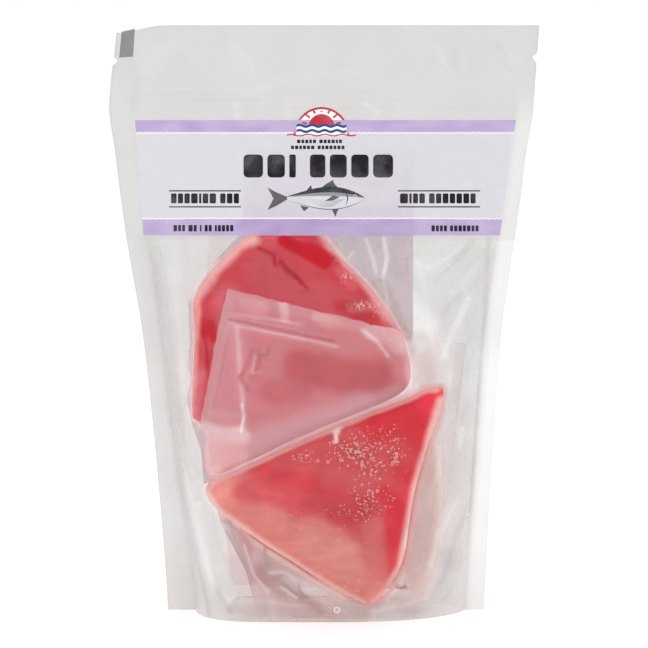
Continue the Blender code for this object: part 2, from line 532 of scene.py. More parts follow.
# %% Outlines seen in the photo, and the film's paint
def closed_curve(points, count):
    """A smooth closed curve through the points, as evenly many places between each two."""
    curve = []
    total = len(points)
    each = ceil(count / total)
    for index in range(total):
        a, b, c, d = (Vector(points[(index + step) % total]) for step in (-1, 0, 1, 2))
        for part in range(each):
            t = part / each
            place = 0.5 * (2 * b + (c - a) * t + (2 * a - 5 * b + 4 * c - d) * t**2
                           + (3 * b - a - 3 * c + d) * t**3)
            curve.append(tuple(place))
    return tuple(curve)


LOWER_EDGE_PX = closed_curve((
    (443, 389), (426, 390), (408, 399), (375, 411), (336, 427), (291, 446), (250, 465),
    (216, 481), (205, 491), (216, 511), (263, 545.3), (290, 562.3), (329, 587.4), (361.5, 604.4),
    (374, 605), (387, 591), (403, 564), (410, 524), (416, 490), (430, 441), (442, 405)), 84)
UPPER_EDGE_PX = closed_curve((
    (262, 229), (300, 225), (322, 234), (341, 257), (372, 289), (399, 328), (409, 357),
    (411, 381), (400, 396), (375, 408), (336, 424), (291, 443), (262, 457), (242, 466),
    (218, 476), (207, 468), (206, 450), (207, 434), (196, 422), (191, 410), (194, 340),
    (193.5, 298), (213.5, 268), (239, 244)), 92)


FILM_TONE = linear("#b5b4b1")
# Painted shade for a groove and a painted highlight for a ridge of the film
FOLD_SHADE_TONE, FOLD_HIGHLIGHT_TONE = linear("#86827f"), linear("#f2f2f0")
# Pink light from the flesh, painted into the film where it lies close over it
FLESH_LIGHT = linear("#d9868a")
CLEAR_VEIL, OPEN_VEIL, REAR_VEIL = 0.015, 0.40, 0.08
BODY_SHEEN, HEADER_SHEEN = 0.42, 0.16
FOLD_SHADING, FOLD_HIDE = 0.6, 0.12    # how strongly a fold of the outer film gets painted shade and highlight, and how much it hides
WELD_VEILS = {-1: 0.36, 1: 0.20}    # the left seal is folded over itself and hides more
WELD_STARTS = {-1: 0.8, 1: -1.2}    # how far inside the seal its look starts, in millimetres
FILM_GLOW_AND_SHADE = marks(
    # Painted shade on the left side of the pouch, where it curves away, and on the slack film at
    # the right
    (((146, 250), (160, 330), (170, 430), (180, 520), (188, 600)), 7, 12, "#928c89", 0.85),
    (((166, 360), (172, 400), (186, 500)), 4, 9, "#978682", 0.7),
    (((470, 256), (476, 340), (470, 420), (462, 500)), 8, 16, "#9c9a97", 0.6),
    (((452, 294), (446, 330)), 6, 12, "#9f9d9b", 0.6),
    (((446, 560), (440, 590), (424, 608)), 7, 12, "#9fa09d", 0.7),
    # Painted pink light that the flesh throws into the film around it, and painted shade beside it
    # and along the foot
    (((418, 340), (432, 400), (434, 470), (424, 540), (410, 592)), 10, 22, "#c4a69d", 0.7),
    (((418, 344), (424, 376)), 8, 10, "#9c837b", 0.8),
    (((196, 300), (190, 400), (206, 470)), 2, 12, "#cda2a2", 0.5),
    (((236, 545), (254, 590), (330, 612)), 8, 14, "#b07f7c", 0.7),
    (((452, 400), (461, 500), (452, 556)), 8, 14, "#9d8c87", 0.75),
    (((194, 436), (200, 476)), 5, 9, "#b2acaa", 0.6),
    (((360, 616), (300, 618), (236, 614)), 5, 10, "#9b857d", 0.75),
    (((412, 612), (440, 604), (470, 604)), 5, 10, "#9f9d9a", 0.6),
)
FILM_VEILS = marks(
    # Thick folds and welded strips that hide more or less
    (((150, 250), (164, 420), (178, 540), (190, 606)), 4, 12, 0.47, 0.8),
    (((480, 548), (468, 582), (454, 606)), 6, 8, 0.30, 0.8),
    (((222, 600), (260, 610), (340, 614), (420, 606)), 6, 8, 0.52, 0.8),
    (((444, 560), (440, 590)), 6, 10, 0.50, 0.8),
    (((418, 344), (424, 376)), 8, 10, 0.52, 0.8),
    (((172, 380), (182, 440)), 5, 8, 0.48, 0.7),
)


def sheen(u, v):
    """Painted light and shade of soft patches and leaning streaks in the slack film, from about -1
    to 1.
    """
    lean = 0.6 if u > 324 else -0.15
    streak = noise.noise(Vector(((u + lean * v) / 11.0, v / 60.0, 2.0)))
    patch = noise.noise(Vector((u / 34.0, v / 30.0, 5.0)))
    return 0.8 * streak + 0.8 * patch


def folded(tone, veil, fold, tint, hide):
    """Paint shade into a groove and a highlight onto a ridge, and let both hide a little more."""
    deep = fold * fold / (0.12 + abs(fold))
    tone = blend_to(tone, FOLD_HIGHLIGHT_TONE if fold > 0.0 else FOLD_SHADE_TONE, min(tint * deep, 0.8))
    return tone, min(veil + hide * min(deep, 1.2), 0.95)


def film_paint(x, y, z, front):
    """Tone and veil of the outer film at a point, with painted shade and highlights along its
    folds.
    """
    off = x - station(z, 3)
    side = -1 if off < 0 else 1
    weld = smooth((abs(off) - station(z, 1) + seal_width(z, off) + WELD_STARTS[side]) / 1.6)
    weld *= smooth((262.0 - z) / 30.0)
    sealed = WELD_VEILS[side]
    if not front:
        rear = max(inside_by(x, z, REAR_LOWER), inside_by(x, z, REAR_UPPER))
        veil = OPEN_VEIL + (REAR_VEIL - OPEN_VEIL) * smooth((rear + 4.0) / 9.0)
        return FILM_TONE, veil + (sealed - veil) * weld
    u, v = pixel_of(x, y, z)
    near = max(smooth((inside_by(u, v, LOWER_EDGE_PX) + 6.0) / 9.0),
               smooth((inside_by(u, v, UPPER_EDGE_PX) + 6.0) / 9.0))
    fold = relief(u, v, front_folds(v))
    fold += sheen(u, v) * (BODY_SHEEN if v > BAND_FOOT else HEADER_SHEEN) * (1.0 - 0.7 * weld)
    tone, veil = folded(painted(u, v, FILM_TONE, FILM_GLOW_AND_SHADE), valued(u, v, OPEN_VEIL, FILM_VEILS),
                        fold * (1.0 - near), FOLD_SHADING, FOLD_HIDE)
    veil += (CLEAR_VEIL - veil) * near
    return blend_to(tone, FLESH_LIGHT, near), veil + (sealed - veil) * weld


# %% Build the outer film
ACROSS_MIDDLE = 140
BODY_STEP, ZIP_STEP, TOP_STEP = 1.35, 0.6, 1.6
ZIP_FOOT, ZIP_TOP, NOTCH_TOP = 241.0, 256.0, 273.6
NOTCH_ROWS = [266.9, 268.2, 269.5, 270.8, 272.1]
BASE_ROWS = (0.96, 0.9, 0.79, 0.65, 0.4)


def spaced(start, end, step):
    """Evenly spaced values from start up to but not including end."""
    count = ceil((end - start) / step)
    return [start + (end - start) * index / count for index in range(count)]


def film_columns():
    """Column places: beyond 1 lies across the side seal, within 1 across the swollen middle."""
    middle = [2.0 * index / ACROSS_MIDDLE - 1.0 for index in range(ACROSS_MIDDLE + 1)]
    seal = [1.25, 1.5, 1.75, 2.0]
    return [-place for place in reversed(seal)] + middle + seal


def place_across(share, z):
    """Turn a column place into a distance from the centre line at height z."""
    side = -1.0 if share < 0 else 1.0
    half = station(z, 1)
    reach = half - seal_width(z, side)
    if abs(share) <= 1.0:
        return share * reach
    if abs(share) == 2.0:
        half -= NOTCH_DEPTH * max(0.0, 1.0 - abs(z - NOTCH_HEIGHT) / NOTCH_HALF)
    return side * (reach + (abs(share) - 1.0) * (half - reach))


def wall_point(share, z, front):
    """A point on the front or back film."""
    x = place_across(share, z)
    depth = film_depth(x, z, front)
    from_corner = station(z, 1) + x
    drop = CORNER_DROP * smooth(1.0 - from_corner / CORNER_RUN) * smooth((z - 255.0) / 30.0)
    return x + station(z, 3), -depth if front else depth, z - drop


def base_point(share, across):
    """A point on the underside: a flat rim, a groove inside it and the sagging gusset."""
    x = place_across(share, 0.0)
    edge = film_depth(x, 0.0, across < 0)
    groove = smooth((1.0 - abs(across)) / 0.2) * smooth((abs(across) - 0.3) / 0.35)
    ends = smooth((56.0 - abs(x)) / 18.0)
    return x + station(0.0, 3), across * edge, 2.2 * groove * ends


def build_film():
    """Wrap one grid down the front, under the base and up the back, then close its edges."""
    columns = film_columns()
    heights = (spaced(0.0, ZIP_FOOT, BODY_STEP) + spaced(ZIP_FOOT, ZIP_TOP, ZIP_STEP)
               + spaced(ZIP_TOP, NOTCH_ROWS[0], TOP_STEP) + NOTCH_ROWS
               + spaced(NOTCH_TOP, HEIGHT, TOP_STEP) + [HEIGHT])
    rows = ([("front", z) for z in reversed(heights)] + [("base", -w) for w in BASE_ROWS]
            + [("base", w) for w in reversed(BASE_ROWS)] + [("back", z) for z in heights])
    mesh, tone, veil = film_mesh()
    across, down = len(columns) - 1, len(rows) - 1
    bmesh.ops.create_grid(mesh, x_segments=across, y_segments=down, size=1.0)
    grid = {}
    for vertex in mesh.verts:
        column = round((vertex.co.x + 1.0) / 2.0 * across)
        row = round((vertex.co.y + 1.0) / 2.0 * down)
        part, place = rows[row]
        if part == "base":
            vertex.co = base_point(columns[column], place)
            colour, cover = FILM_TONE, OPEN_VEIL
        else:
            vertex.co = wall_point(columns[column], place, part == "front")
            colour, cover = film_paint(*vertex.co, part == "front")
        vertex[tone] = (*colour, 1.0)
        vertex[veil] = cover
        grid[column, row] = vertex
    for column in range(across):
        mesh.faces.new((grid[column, 0], grid[column + 1, 0],
                        grid[column + 1, down], grid[column, down]))
    for column in (0, across):
        for row in range(down // 2):
            mesh.faces.new((grid[column, row], grid[column, row + 1],
                            grid[column, down - row - 1], grid[column, down - row]))
    bmesh.ops.recalc_face_normals(mesh, faces=mesh.faces)
    return mesh


outer_film = finish_piece(build_film(), "outer_film", pouch_film, thin=True)
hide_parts("pouch")

# %% [markdown]
# ## The printed band
#
# A band of pale lavender is printed across the upper front, a darker stripe with a stitched edge
# along its top and its foot. What stands on it here is plain: a half sun over waves, rows of
# blocks where words would be, and a simple fish. Each field is cut from a flat outline in photo
# pixels, diced with bisect_plane so that it can bend, and laid on the film.

# %% Fields of ink
BAND_LEFT = ((135, 120), (143.5, 236))
BAND_RIGHT = ((516, 120), (500, 236))
DICE = 4.0
LAYER = 0.11                # how far each layer of ink stands before the one below it


def band_side(line, v):
    """Where the band's slanting side lies at a height in the photo."""
    (u0, v0), (u1, v1) = line
    return u0 + (u1 - u0) * (v - v0) / (v1 - v0)


def add_field(mesh, points, layer, tone, cover):
    """Dice an outline, lay it on the film and colour it; tone may be a function of u and v."""
    field, colour_layer, veil_layer = film_mesh()
    field.faces.new([field.verts.new((u, v, 0.0)) for u, v in points])
    bmesh.ops.triangulate(field, faces=field.faces)
    low_u, high_u, low_v, high_v = box_round(points, 0.0)
    across, down = Vector((1, 0, 0)), Vector((0, 1, 0))
    for axis, low, high in ((across, low_u, high_u), (down, low_v, high_v)):
        for step in range(floor(low / DICE) + 1, ceil(high / DICE)):
            bmesh.ops.bisect_plane(field, geom=field.verts[:] + field.edges[:] + field.faces[:],
                                   plane_co=axis * step * DICE, plane_no=axis)
    for vertex in field.verts:
        u, v = vertex.co.x, vertex.co.y
        vertex.co = on_film(u, v, -LAYER * layer)
        vertex[colour_layer] = (*(tone(u, v) if callable(tone) else tone), 1.0)
        vertex[veil_layer] = cover
    data = bpy.data.meshes.new("field")
    field.to_mesh(data)
    field.free()
    mesh.from_mesh(data)
    bpy.data.meshes.remove(data)


def print_piece(name, fields):
    """Lay fields of ink one by one, face them forwards and finish them as a piece."""
    mesh = film_mesh()[0]
    for field in fields:
        add_field(mesh, *field)
    for face in mesh.faces:
        face.normal_update()
        if face.normal.y > 0.0:
            face.normal_flip()
    finish_piece(mesh, name, printed_ink, thin=True)


printed_ink = film_material("printed_ink", 0.5, 0.1, 0.9)

# %% Panel and stripes
STITCH = 5.2                # spacing of the stitched edge, in pixels
PANEL_TONE, PANEL_VEIL = linear("#d3cfdb"), 0.62
STRIPE_TONE, STRIPE_SHADE = linear("#b6a2cb"), linear("#9c86b4")
STITCH_TONE = linear("#efedf3")
STITCH_OUT = 1.5            # how far the white stitches reach past the stripe
STRIPES = ((120, 131.5, 1), (235.5, 220, -1))   # outer and inner edge, and which way is in
PANEL_TOP, PANEL_FOOT = 130, 222


def stitched_edge(v, push, way):
    """Points along a stripe's inner edge, from its left side to its right, in small arcs."""
    left, right = band_side(BAND_LEFT, v), band_side(BAND_RIGHT, v)
    count = int((right - left) / (STITCH / 4))
    places = [left + (right - left) * step / count for step in range(count + 1)]
    return [(u, v + way * (push + abs(sin(pi * u / STITCH)))) for u in places]


BAG_BEHIND = mark(((250, 228), (405, 228)), 8, 8, 1.0)


def stripe_tone(u, v):
    """Lavender that is darker where the bag lies behind it, and streaked with painted shade where
    the film folds.
    """
    cloud = noise.noise(Vector((u / 26.0, v / 9.0, 2.0)))
    share = smooth(0.5 + 1.1 * cloud) * 0.35 + 0.4 * dab_share(u, v, BAG_BEHIND)
    return blend_to(STRIPE_TONE, STRIPE_SHADE, share)


def band_between(top, foot):
    """Outline of the band between two heights in the photo."""
    return [(band_side(line, v), v) for line, v in ((BAND_LEFT, top), (BAND_RIGHT, top),
                                                    (BAND_RIGHT, foot), (BAND_LEFT, foot))]


print_piece("print_panel", [(band_between(PANEL_TOP, PANEL_FOOT), 1, PANEL_TONE, PANEL_VEIL)])
stripes = []
for outer, inner, way in STRIPES:
    ends = [(band_side(BAND_RIGHT, outer), outer), (band_side(BAND_LEFT, outer), outer)]
    stripes += [(stitched_edge(inner, STITCH_OUT, way) + ends, 2, STITCH_TONE, 0.7),
                (stitched_edge(inner, 0.0, way) + ends, 3, stripe_tone, 0.9)]
print_piece("print_stripes", stripes)

# %% Half sun over waves
INK, RED_INK = linear("#1d1b1f"), linear("#b9323f")
BLUE_INK, PAPER = linear("#2b4a86"), linear("#f0eef2")
SKY_FOOT, SKY_WIDE, SKY_TALL, SKY_LINE = (321.5, 136.0), 28.0, 29.0, 2.2
SUN_FOOT, SUN_RADIUS = (321.5, 127.0), 13.0
RAYS, RAY_ROOT, RAY_TIP = 7, 15.0, 20.0
SEA_LEFT, SEA_RIGHT, SEA_TOP, SEA_STEP = 296.5, 346.5, 124.5, 2.6


def half_disc(centre, wide, tall):
    """Outline of a half disc that stands on its flat side."""
    return [(centre[0] + wide * cos(pi * step / 24), centre[1] - tall * sin(pi * step / 24))
            for step in range(25)]


def wave_band(u0, u1, v, thick, rise, period):
    """Outline of a wavy band."""
    count = int((u1 - u0) / 1.5)
    places = [u0 + (u1 - u0) * step / count for step in range(count + 1)]
    crest = [(u, v - rise * sin(2 * pi * (u - u0) / period)) for u in places]
    return crest + [(u, w + thick) for u, w in reversed(crest)]


def ray(turn):
    """Outline of one ray of the sun, a little narrower at its tip."""
    corners = ((RAY_ROOT, -0.07), (RAY_TIP, -0.05), (RAY_TIP, 0.05), (RAY_ROOT, 0.07))
    return [(SUN_FOOT[0] + reach * cos(turn + side), SUN_FOOT[1] - reach * sin(turn + side))
            for reach, side in corners]


badge = [(half_disc(SKY_FOOT, SKY_WIDE, SKY_TALL), 2, RED_INK, 0.95),
         (half_disc(SKY_FOOT, SKY_WIDE - SKY_LINE, SKY_TALL - SKY_LINE), 3, PAPER, 1.0),
         (half_disc(SUN_FOOT, SUN_RADIUS, SUN_RADIUS), 4, RED_INK, 0.95)]
badge += [(ray(pi * (index + 0.5) / RAYS), 4, RED_INK, 0.95) for index in range(RAYS)]
badge += [(wave_band(SEA_LEFT, SEA_RIGHT, SEA_TOP + SEA_STEP * row, 2.7, 0.9, 12.5),
           5 + row, ink, 1.0) for row, ink in enumerate((BLUE_INK, PAPER, BLUE_INK, PAPER))]
badge.append((wave_band(287.0, 356.0, 134.4, 1.4, 0.7, 17.0), 9, RED_INK, 0.95))
print_piece("print_half_sun", badge)

# %% Rows of blocks in place of words
def rounded_box(u0, v0, u1, v1, radius):
    """Outline of a box with round corners."""
    points = []
    for cu, cv, start in ((u1 - radius, v0 + radius, -90), (u1 - radius, v1 - radius, 0),
                          (u0 + radius, v1 - radius, 90), (u0 + radius, v0 + radius, 180)):
        points += [(cu + radius * cos(radians(start + 30 * step)),
                    cv + radius * sin(radians(start + 30 * step))) for step in range(4)]
    return points


# Left end, top and foot in pixels, each block's width with 0 for a wide space, and the gap
ROWS = (
    (243.5, 154.5, 177.5, (19.5, 17.5, 6.5, 0, 15.5, 17, 17.5, 20), 4.4),
    (297.0, 139.6, 143.2, (3.4, 2.8, 3.1, 2.6, 3.2, 0, 3.4, 3.0, 2.8, 3.3, 2.2, 3.0), 1.0),
    (291.0, 145.6, 149.2, (3, 3.3, 2.6, 3.1, 3, 3.4, 0, 3, 2.7, 3.2, 3, 2.9, 3.1, 3), 1.0),
    (171.0, 193.4, 203.4, (5.6, 5.2, 5.4, 6.6, 2.4, 5.6, 6.4, 0, 5.4, 5.6, 5.2), 1.3),
    (400.0, 193.4, 203.4, (8, 2.4, 5, 5.6, 0, 5.6, 5.4, 5.8, 5.4, 5.6, 5.8, 5.2), 1.3),
    (173.5, 225.0, 231.4, (3.6, 3, 3, 0, 4.4, 3, 0, 1.6, 0, 3, 3, 0, 2, 3, 3.2, 3, 3.2), 1.0),
    (431.5, 225.4, 231.4, (3.4, 3, 3, 3, 0, 3, 3.4, 3.4, 3, 3.6, 3, 3), 1.0),
)
RULES = ((169, 241, 190.2), (169, 241, 206.2), (398, 480, 190.2), (398, 480, 206.2))
RULE_WIDE = 1.3


def row_of_blocks(u, top, foot, widths, gap):
    """Fields for one row, from its left end."""
    fields = []
    for width in widths:
        if width:
            corner = min(width, foot - top) * 0.22
            fields.append((rounded_box(u, top, u + width, foot, corner), 4, INK, 0.97))
        u += (width + gap) if width else 2.2 * gap
    return fields


blocks = [field for row in ROWS for field in row_of_blocks(*row)]
blocks += [(((left, v), (right, v), (right, v + RULE_WIDE), (left, v + RULE_WIDE)), 2, INK, 0.9)
           for left, right, v in RULES]
print_piece("print_blocks", blocks)

# %% A simple fish
FISH_NOSE, FISH_ROOT, FISH_LINE = 365.5, 285.0, 198.2
FISH_DARK, FISH_MID, FISH_PALE = linear("#34373e"), linear("#82858d"), linear("#d3d2d8")
FINS = (
    ((287, 199.6), (277, 205.5), (267.5, 210), (273.5, 198.6), (267.5, 187.5), (277, 192.6),
     (287, 196.8)),
    ((304.5, 193), (311, 185), (312.5, 191.5)),
    ((318, 190.6), (326, 184), (333, 180), (334.5, 184), (339, 188.6)),
    ((300, 205.2), (304, 211.4), (309, 207.4)), ((332, 209.4), (335.2, 217), (338.6, 208.8)),
)
GILL = ((345.4, 189.6), (348.6, 198), (345.6, 207), (347.2, 198))
SIDE_FIN = ((340, 197), (333, 195.5), (325, 201), (333, 200.4))
# Height above the middle line of each band's two edges, its layer, tone and cover
BODY_BANDS = ((11.0, -11.0, 2, FISH_DARK, 0.95), (10.2, -10.2, 3, FISH_PALE, 0.95),
              (10.4, 5.2, 4, FISH_DARK, 0.95), (5.4, 1.6, 5, FISH_MID, 0.85))


def fish_edge(tall):
    """Points along one side of the body from the tail's root to the nose, deepest near the head."""
    points = []
    for step in range(21):
        share = step / 20
        high = tall * sin(pi * share ** 1.25) ** 0.85 if 0 < step < 20 else 0.0
        taper = 1.3 * (1 - share) * (1 if tall > 0 else -1)
        points.append((FISH_ROOT + (FISH_NOSE - FISH_ROOT) * share, FISH_LINE - high - taper))
    return points


def stroke(points, wide):
    """Outline of a thin line that tapers to its end."""
    last = len(points) - 1
    sides = [[(u, v + way * wide * (1 - step / last)) for step, (u, v) in enumerate(points[:-1])]
             for way in (-1, 1)]
    return sides[0] + [points[-1]] + sides[1][::-1]


fish = [(fish_edge(high) + fish_edge(low)[::-1][1:-1], layer, tone, cover)
        for high, low, layer, tone, cover in BODY_BANDS]
fish += [(points, 3, FISH_DARK, 0.9) for points in FINS]
for row in range(7):
    v = FISH_LINE + 1.4 + 1.1 * row
    line = ((345 - 2.0 * row, v), (325 - row, v + 0.5), (300 + 3.0 * row, v))
    fish.append((stroke(line, 0.28), 6, FISH_MID, 0.8))
fish += [(GILL, 6, FISH_DARK, 0.9), (SIDE_FIN, 7, FISH_DARK, 0.85),
         (rounded_box(353.4, 194.4, 356.8, 197.8, 1.6), 8, FISH_PALE, 0.9),
         (rounded_box(354.2, 195.2, 356.0, 197.0, 0.9), 9, INK, 1.0)]
print_piece("print_fish", fish)

# %% Sensor mark at the top left corner
SENSOR_EDGE = ((121.6, 31.7), (134.9, 28.7), (133.1, 56.7), (119.2, 57.6))
print_piece("print_sensor_mark", [(SENSOR_EDGE, 1, linear("#7f7f80"), 0.92)])

# %% [markdown]
# ## The steaks
#
# A tuna steak is a slab about 20 mm thick, cut across the loin, with soft rounded edges. A sphere
# pressed flat gives such a slab with no seam: its rings become the slab's face, and its equator the
# rim. The outline comes from the photo, and the face follows the film that it presses on. The flesh
# is deep red with darker blood lines, and pale along its edges, partly frost and partly painted
# light.

# %% Steak material
def flesh_material(name):
    """Moist raw muscle: painted colour, fine grain along the fibres, a wet coat."""
    material, tree, shader = new_material(name, {
        "Roughness": 0.45, "IOR": 1.38, "Specular IOR Level": 0.12,
        "Subsurface Weight": 0.3, "Subsurface Radius": (1.0, 0.25, 0.2),
        "Subsurface Scale": 4.0 * MM, "Coat Weight": 0.1, "Coat Roughness": 0.25})
    tone = add_node(tree, "ShaderNodeAttribute", {"attribute_name": "tone"})
    place = add_node(tree, "ShaderNodeTexCoord").outputs["Object"]
    turn = add_node(tree, "ShaderNodeMapping", {"Rotation": (0.0, radians(18), 0.0),
                                                "Scale": (0.35, 1.0, 1.0)}, Vector=place)
    fibre = noise_node(tree, turn.outputs["Vector"], 2.6, 4.0, 0.6)
    cloud = noise_node(tree, place, 11.0, 3.0)
    light = add_node(tree, "ShaderNodeMapRange", {1: 0.3, 2: 0.7, 3: 0.80, 4: 0.96},
                     Value=fibre.outputs["Fac"])
    mottle = add_node(tree, "ShaderNodeMapRange", {1: 0.3, 2: 0.7, 3: 0.93, 4: 1.07},
                      Value=cloud.outputs["Fac"])
    shade = add_node(tree, "ShaderNodeMath", {"operation": "MULTIPLY"},
                     i0=light.outputs["Result"], i1=mottle.outputs["Result"])
    colour = add_node(tree, "ShaderNodeVectorMath", {"operation": "SCALE"},
                      i0=tone.outputs["Color"], Scale=shade.outputs["Value"])
    bump = add_node(tree, "ShaderNodeBump", {"Strength": 0.3, "Distance": 0.25 * MM},
                    Height=fibre.outputs["Fac"])
    tree.links.new(shader.inputs["Base Color"], colour.outputs["Vector"])
    tree.links.new(shader.inputs["Normal"], bump.outputs["Normal"])
    return material


flesh = flesh_material("raw_tuna_flesh")

# %% Steak builder
THICK = 20.0
SPARE = 1.5                 # what stays free behind a steak where the pouch is thin
ROUND = 5.5                 # how far in from its outline a steak reaches its full thickness
LUMP = 0.35                 # how much its face swells and sinks


def build_steak(outline, front, gap, paint, rings, sides, seed):
    """Press a sphere into a slab inside an outline, against the front or the back film."""
    mesh = bmesh.new()
    tone = mesh.verts.layers.float_color.new("tone")
    bmesh.ops.create_uvsphere(mesh, u_segments=sides, v_segments=rings, radius=1.0)
    middle = sum((Vector(point) for point in outline), Vector((0.0, 0.0))) / len(outline)
    count = len(outline)
    for vertex in mesh.verts:
        polar = atan2(hypot(vertex.co.x, vertex.co.y), vertex.co.z)
        around = (atan2(vertex.co.y, vertex.co.x) / (2 * pi)) % 1.0 * count
        near_face = polar < pi / 2
        fold = min(polar, pi - polar)
        share = 0.5 * (sin(fold) + fold / (pi / 2))
        start, part = int(around) % count, around - int(around)
        edge = Vector(outline[start]).lerp(Vector(outline[(start + 1) % count]), part)
        x, z = middle.lerp(edge, share)
        depth = film_depth(x - station(z, 3), z, front)
        thick = min(THICK, depth - SPARE)
        inside = max(inside_by(x, z, outline), 0.0) if share < 0.999 else 0.0
        full = sqrt(1.0 - (1.0 - min(inside / ROUND, 1.0)) ** 2)
        lumps = noise.noise(Vector((x / 9.0, z / 9.0, seed)))
        full *= 1.0 - 0.03 * (1.0 + noise.noise(Vector((x / 4.0, z / 4.0, seed + 3.0))))
        clear = gap(x, z) + LUMP * (1.0 + lumps)
        y = -depth + clear + thick / 2 + (-1 if near_face else 1) * full * thick / 2
        vertex.co = (x, y if front else -y, z)
        facing = full if near_face else -full
        vertex[tone] = (*paint((x, vertex.co.y, z), lumps, inside, facing), 1.0)
    bmesh.ops.recalc_face_normals(mesh, faces=mesh.faces)
    return mesh


# %% Where the front steaks and their bags lie
def plane_outline(edge_px, behind):
    """Turn an outline in photo pixels to x and z in millimetres behind the front film."""
    return tuple((x, z) for x, _, z in (on_film(u, v, behind) for u, v in edge_px))


lower_outline = plane_outline(LOWER_EDGE_PX, 4.0)
upper_outline = plane_outline(UPPER_EDGE_PX, 4.0)
# Left and right borders of the two front bags, from the top down
LOWER_BAG_LEFT = ((225.5, 286), (213.6, 342), (200, 416), (204, 470), (222, 526), (246, 571),
                  (258, 617))
LOWER_BAG_RIGHT = ((466, 344), (462, 380), (456, 430), (450, 480), (442, 530), (430, 580),
                   (414, 617))
UPPER_BAG_LEFT = ((243, 150), (243, 232), (214, 262), (188, 300), (190, 340), (188, 366),
                  (191, 376), (187, 400), (192, 424), (201, 450), (204, 484))
UPPER_BAG_RIGHT = ((416, 150), (414, 200), (413, 236), (413, 290), (413, 330), (414, 360),
                   (415, 389))
lower_bag_left = plane_outline(LOWER_BAG_LEFT, 2.0)
lower_bag_right = plane_outline(LOWER_BAG_RIGHT, 2.0)
upper_bag_left = plane_outline(UPPER_BAG_LEFT, 3.0)
upper_bag_right = plane_outline(UPPER_BAG_RIGHT, 3.0)
lower_bag_outline = lower_bag_left + lower_bag_right[::-1]

ROOM = 1.0                  # between a film and the steak behind it
OVERLAP = 2.6               # how much further back a steak lies where another's bag covers it


def plain_gap(x, z):
    """Nothing but the room that every steak has."""
    return ROOM


def upper_gap(x, z):
    """The rounded steak lies behind the other's bag where that covers it."""
    return ROOM + OVERLAP * smooth(inside_by(x, z, lower_bag_outline) / 4.0)


def front_paint(base, dabs, rim_glow, wobbles):
    """Make a front steak's paint: its marks, then its pale rims of frost and painted light, each
    with a wobble of its own.
    """
    def paint(place, lumps, *_):
        """Colour at a point."""
        u, v = pixel_of(*place)
        colour = painted(u, v, base, dabs, wobbles[0] * lumps)
        return painted(u, v, colour, rim_glow, wobbles[1] * lumps)
    return paint


# %% Flesh of the front triangular steak
LOWER_FLESH = linear("#cf5359")
LOWER_MARKS = marks(
    (((232, 500), (262, 524), (300, 550), (340, 580), (366, 596)), 12, 40, "#d9837b", 0.95),
    (((236, 496), (300, 530), (350, 560)), 6, 30, "#d8807a", 0.6),
    (((316, 545), (340, 556)), 8, 20, "#d98d88", 0.7),
    (((350, 548), (354, 585)), 5, 10, "#d98b86", 0.6),
    (((219, 489),), 6, 24, "#ec968c", 0.9),
    (((262, 474), (292, 482), (336, 490)), 5, 12, "#d23e49", 0.75),
    (((440, 394), (424, 428), (410, 464)), 9, 22, "#d6303e", 0.95),
    (((384, 424), (412, 410), (432, 398)), 12, 22, "#d42f3c", 0.95),
    (((402, 500), (400, 530), (394, 562)), 6, 13, "#d9424d", 0.9),
    (((386, 494), (397, 508), (394, 540)), 6, 8, "#d0303e", 0.85),
    (((296, 506), (336, 504), (368, 506)), 4, 13, "#c3414a", 0.75),
    (((336, 514), (350, 520), (362, 512)), 4, 9, "#bd3a44", 0.6),
    (((244, 490), (264, 492), (290, 498)), 6, 12, "#d9545b", 0.8),
    (((372, 530), (378, 572)), 5, 11, "#d07272", 0.65),
    (((340, 452), (372, 462), (398, 452)), 9, 16, "#c95257", 0.6),
    (((330, 480), (372, 484)), 4, 10, "#cc5f64", 0.5),
    (((436, 395), (428, 404)), 6, 9, "#f03a50", 0.9),
    (((380, 590), (372, 598)), 4, 8, "#e09088", 0.6),
)
LOWER_FROST_AND_RIM_GLOW = marks(
    # Pale rims along the cut edge, fading inwards: partly frost, partly painted light where the
    # rounded edge would lie in shade
    (((205, 492), (216, 511), (263, 545.3), (290, 562.3), (329, 587.4), (361.5, 604.4)),
     1.6, 6.5, "#efc6ba", 0.92),
    (((374, 604), (387, 591), (403, 564)), 1.5, 6, "#f2b5ab", 0.85),
    (((403, 562), (410, 524), (416, 490), (430, 441), (441, 402)), 0.9, 8, "#fac0ba", 0.9),
    # A painted highlight down the right edge
    (((410, 520), (406, 546)), 0.6, 3.0, "#fbe3df", 0.9),
    (((436, 389.5), (426, 390), (408, 399), (375, 411), (336, 427), (291, 446), (250, 465),
      (216, 481), (206, 489)), 0.6, 5.0, "#f1ada6", 0.9),
    (((338, 426), (336, 431)), 2.0, 4.0, "#f4d6cf", 0.95),
    (((336, 431), (335.5, 442)), 0.4, 2.0, "#f2dcd5", 0.95),
)
finish_piece(
    build_steak(lower_outline, True, plain_gap,
                front_paint(LOWER_FLESH, LOWER_MARKS, LOWER_FROST_AND_RIM_GLOW, (4.0, 0.8)), 110, 260, 1.0),
    "steak_front_lower", flesh)

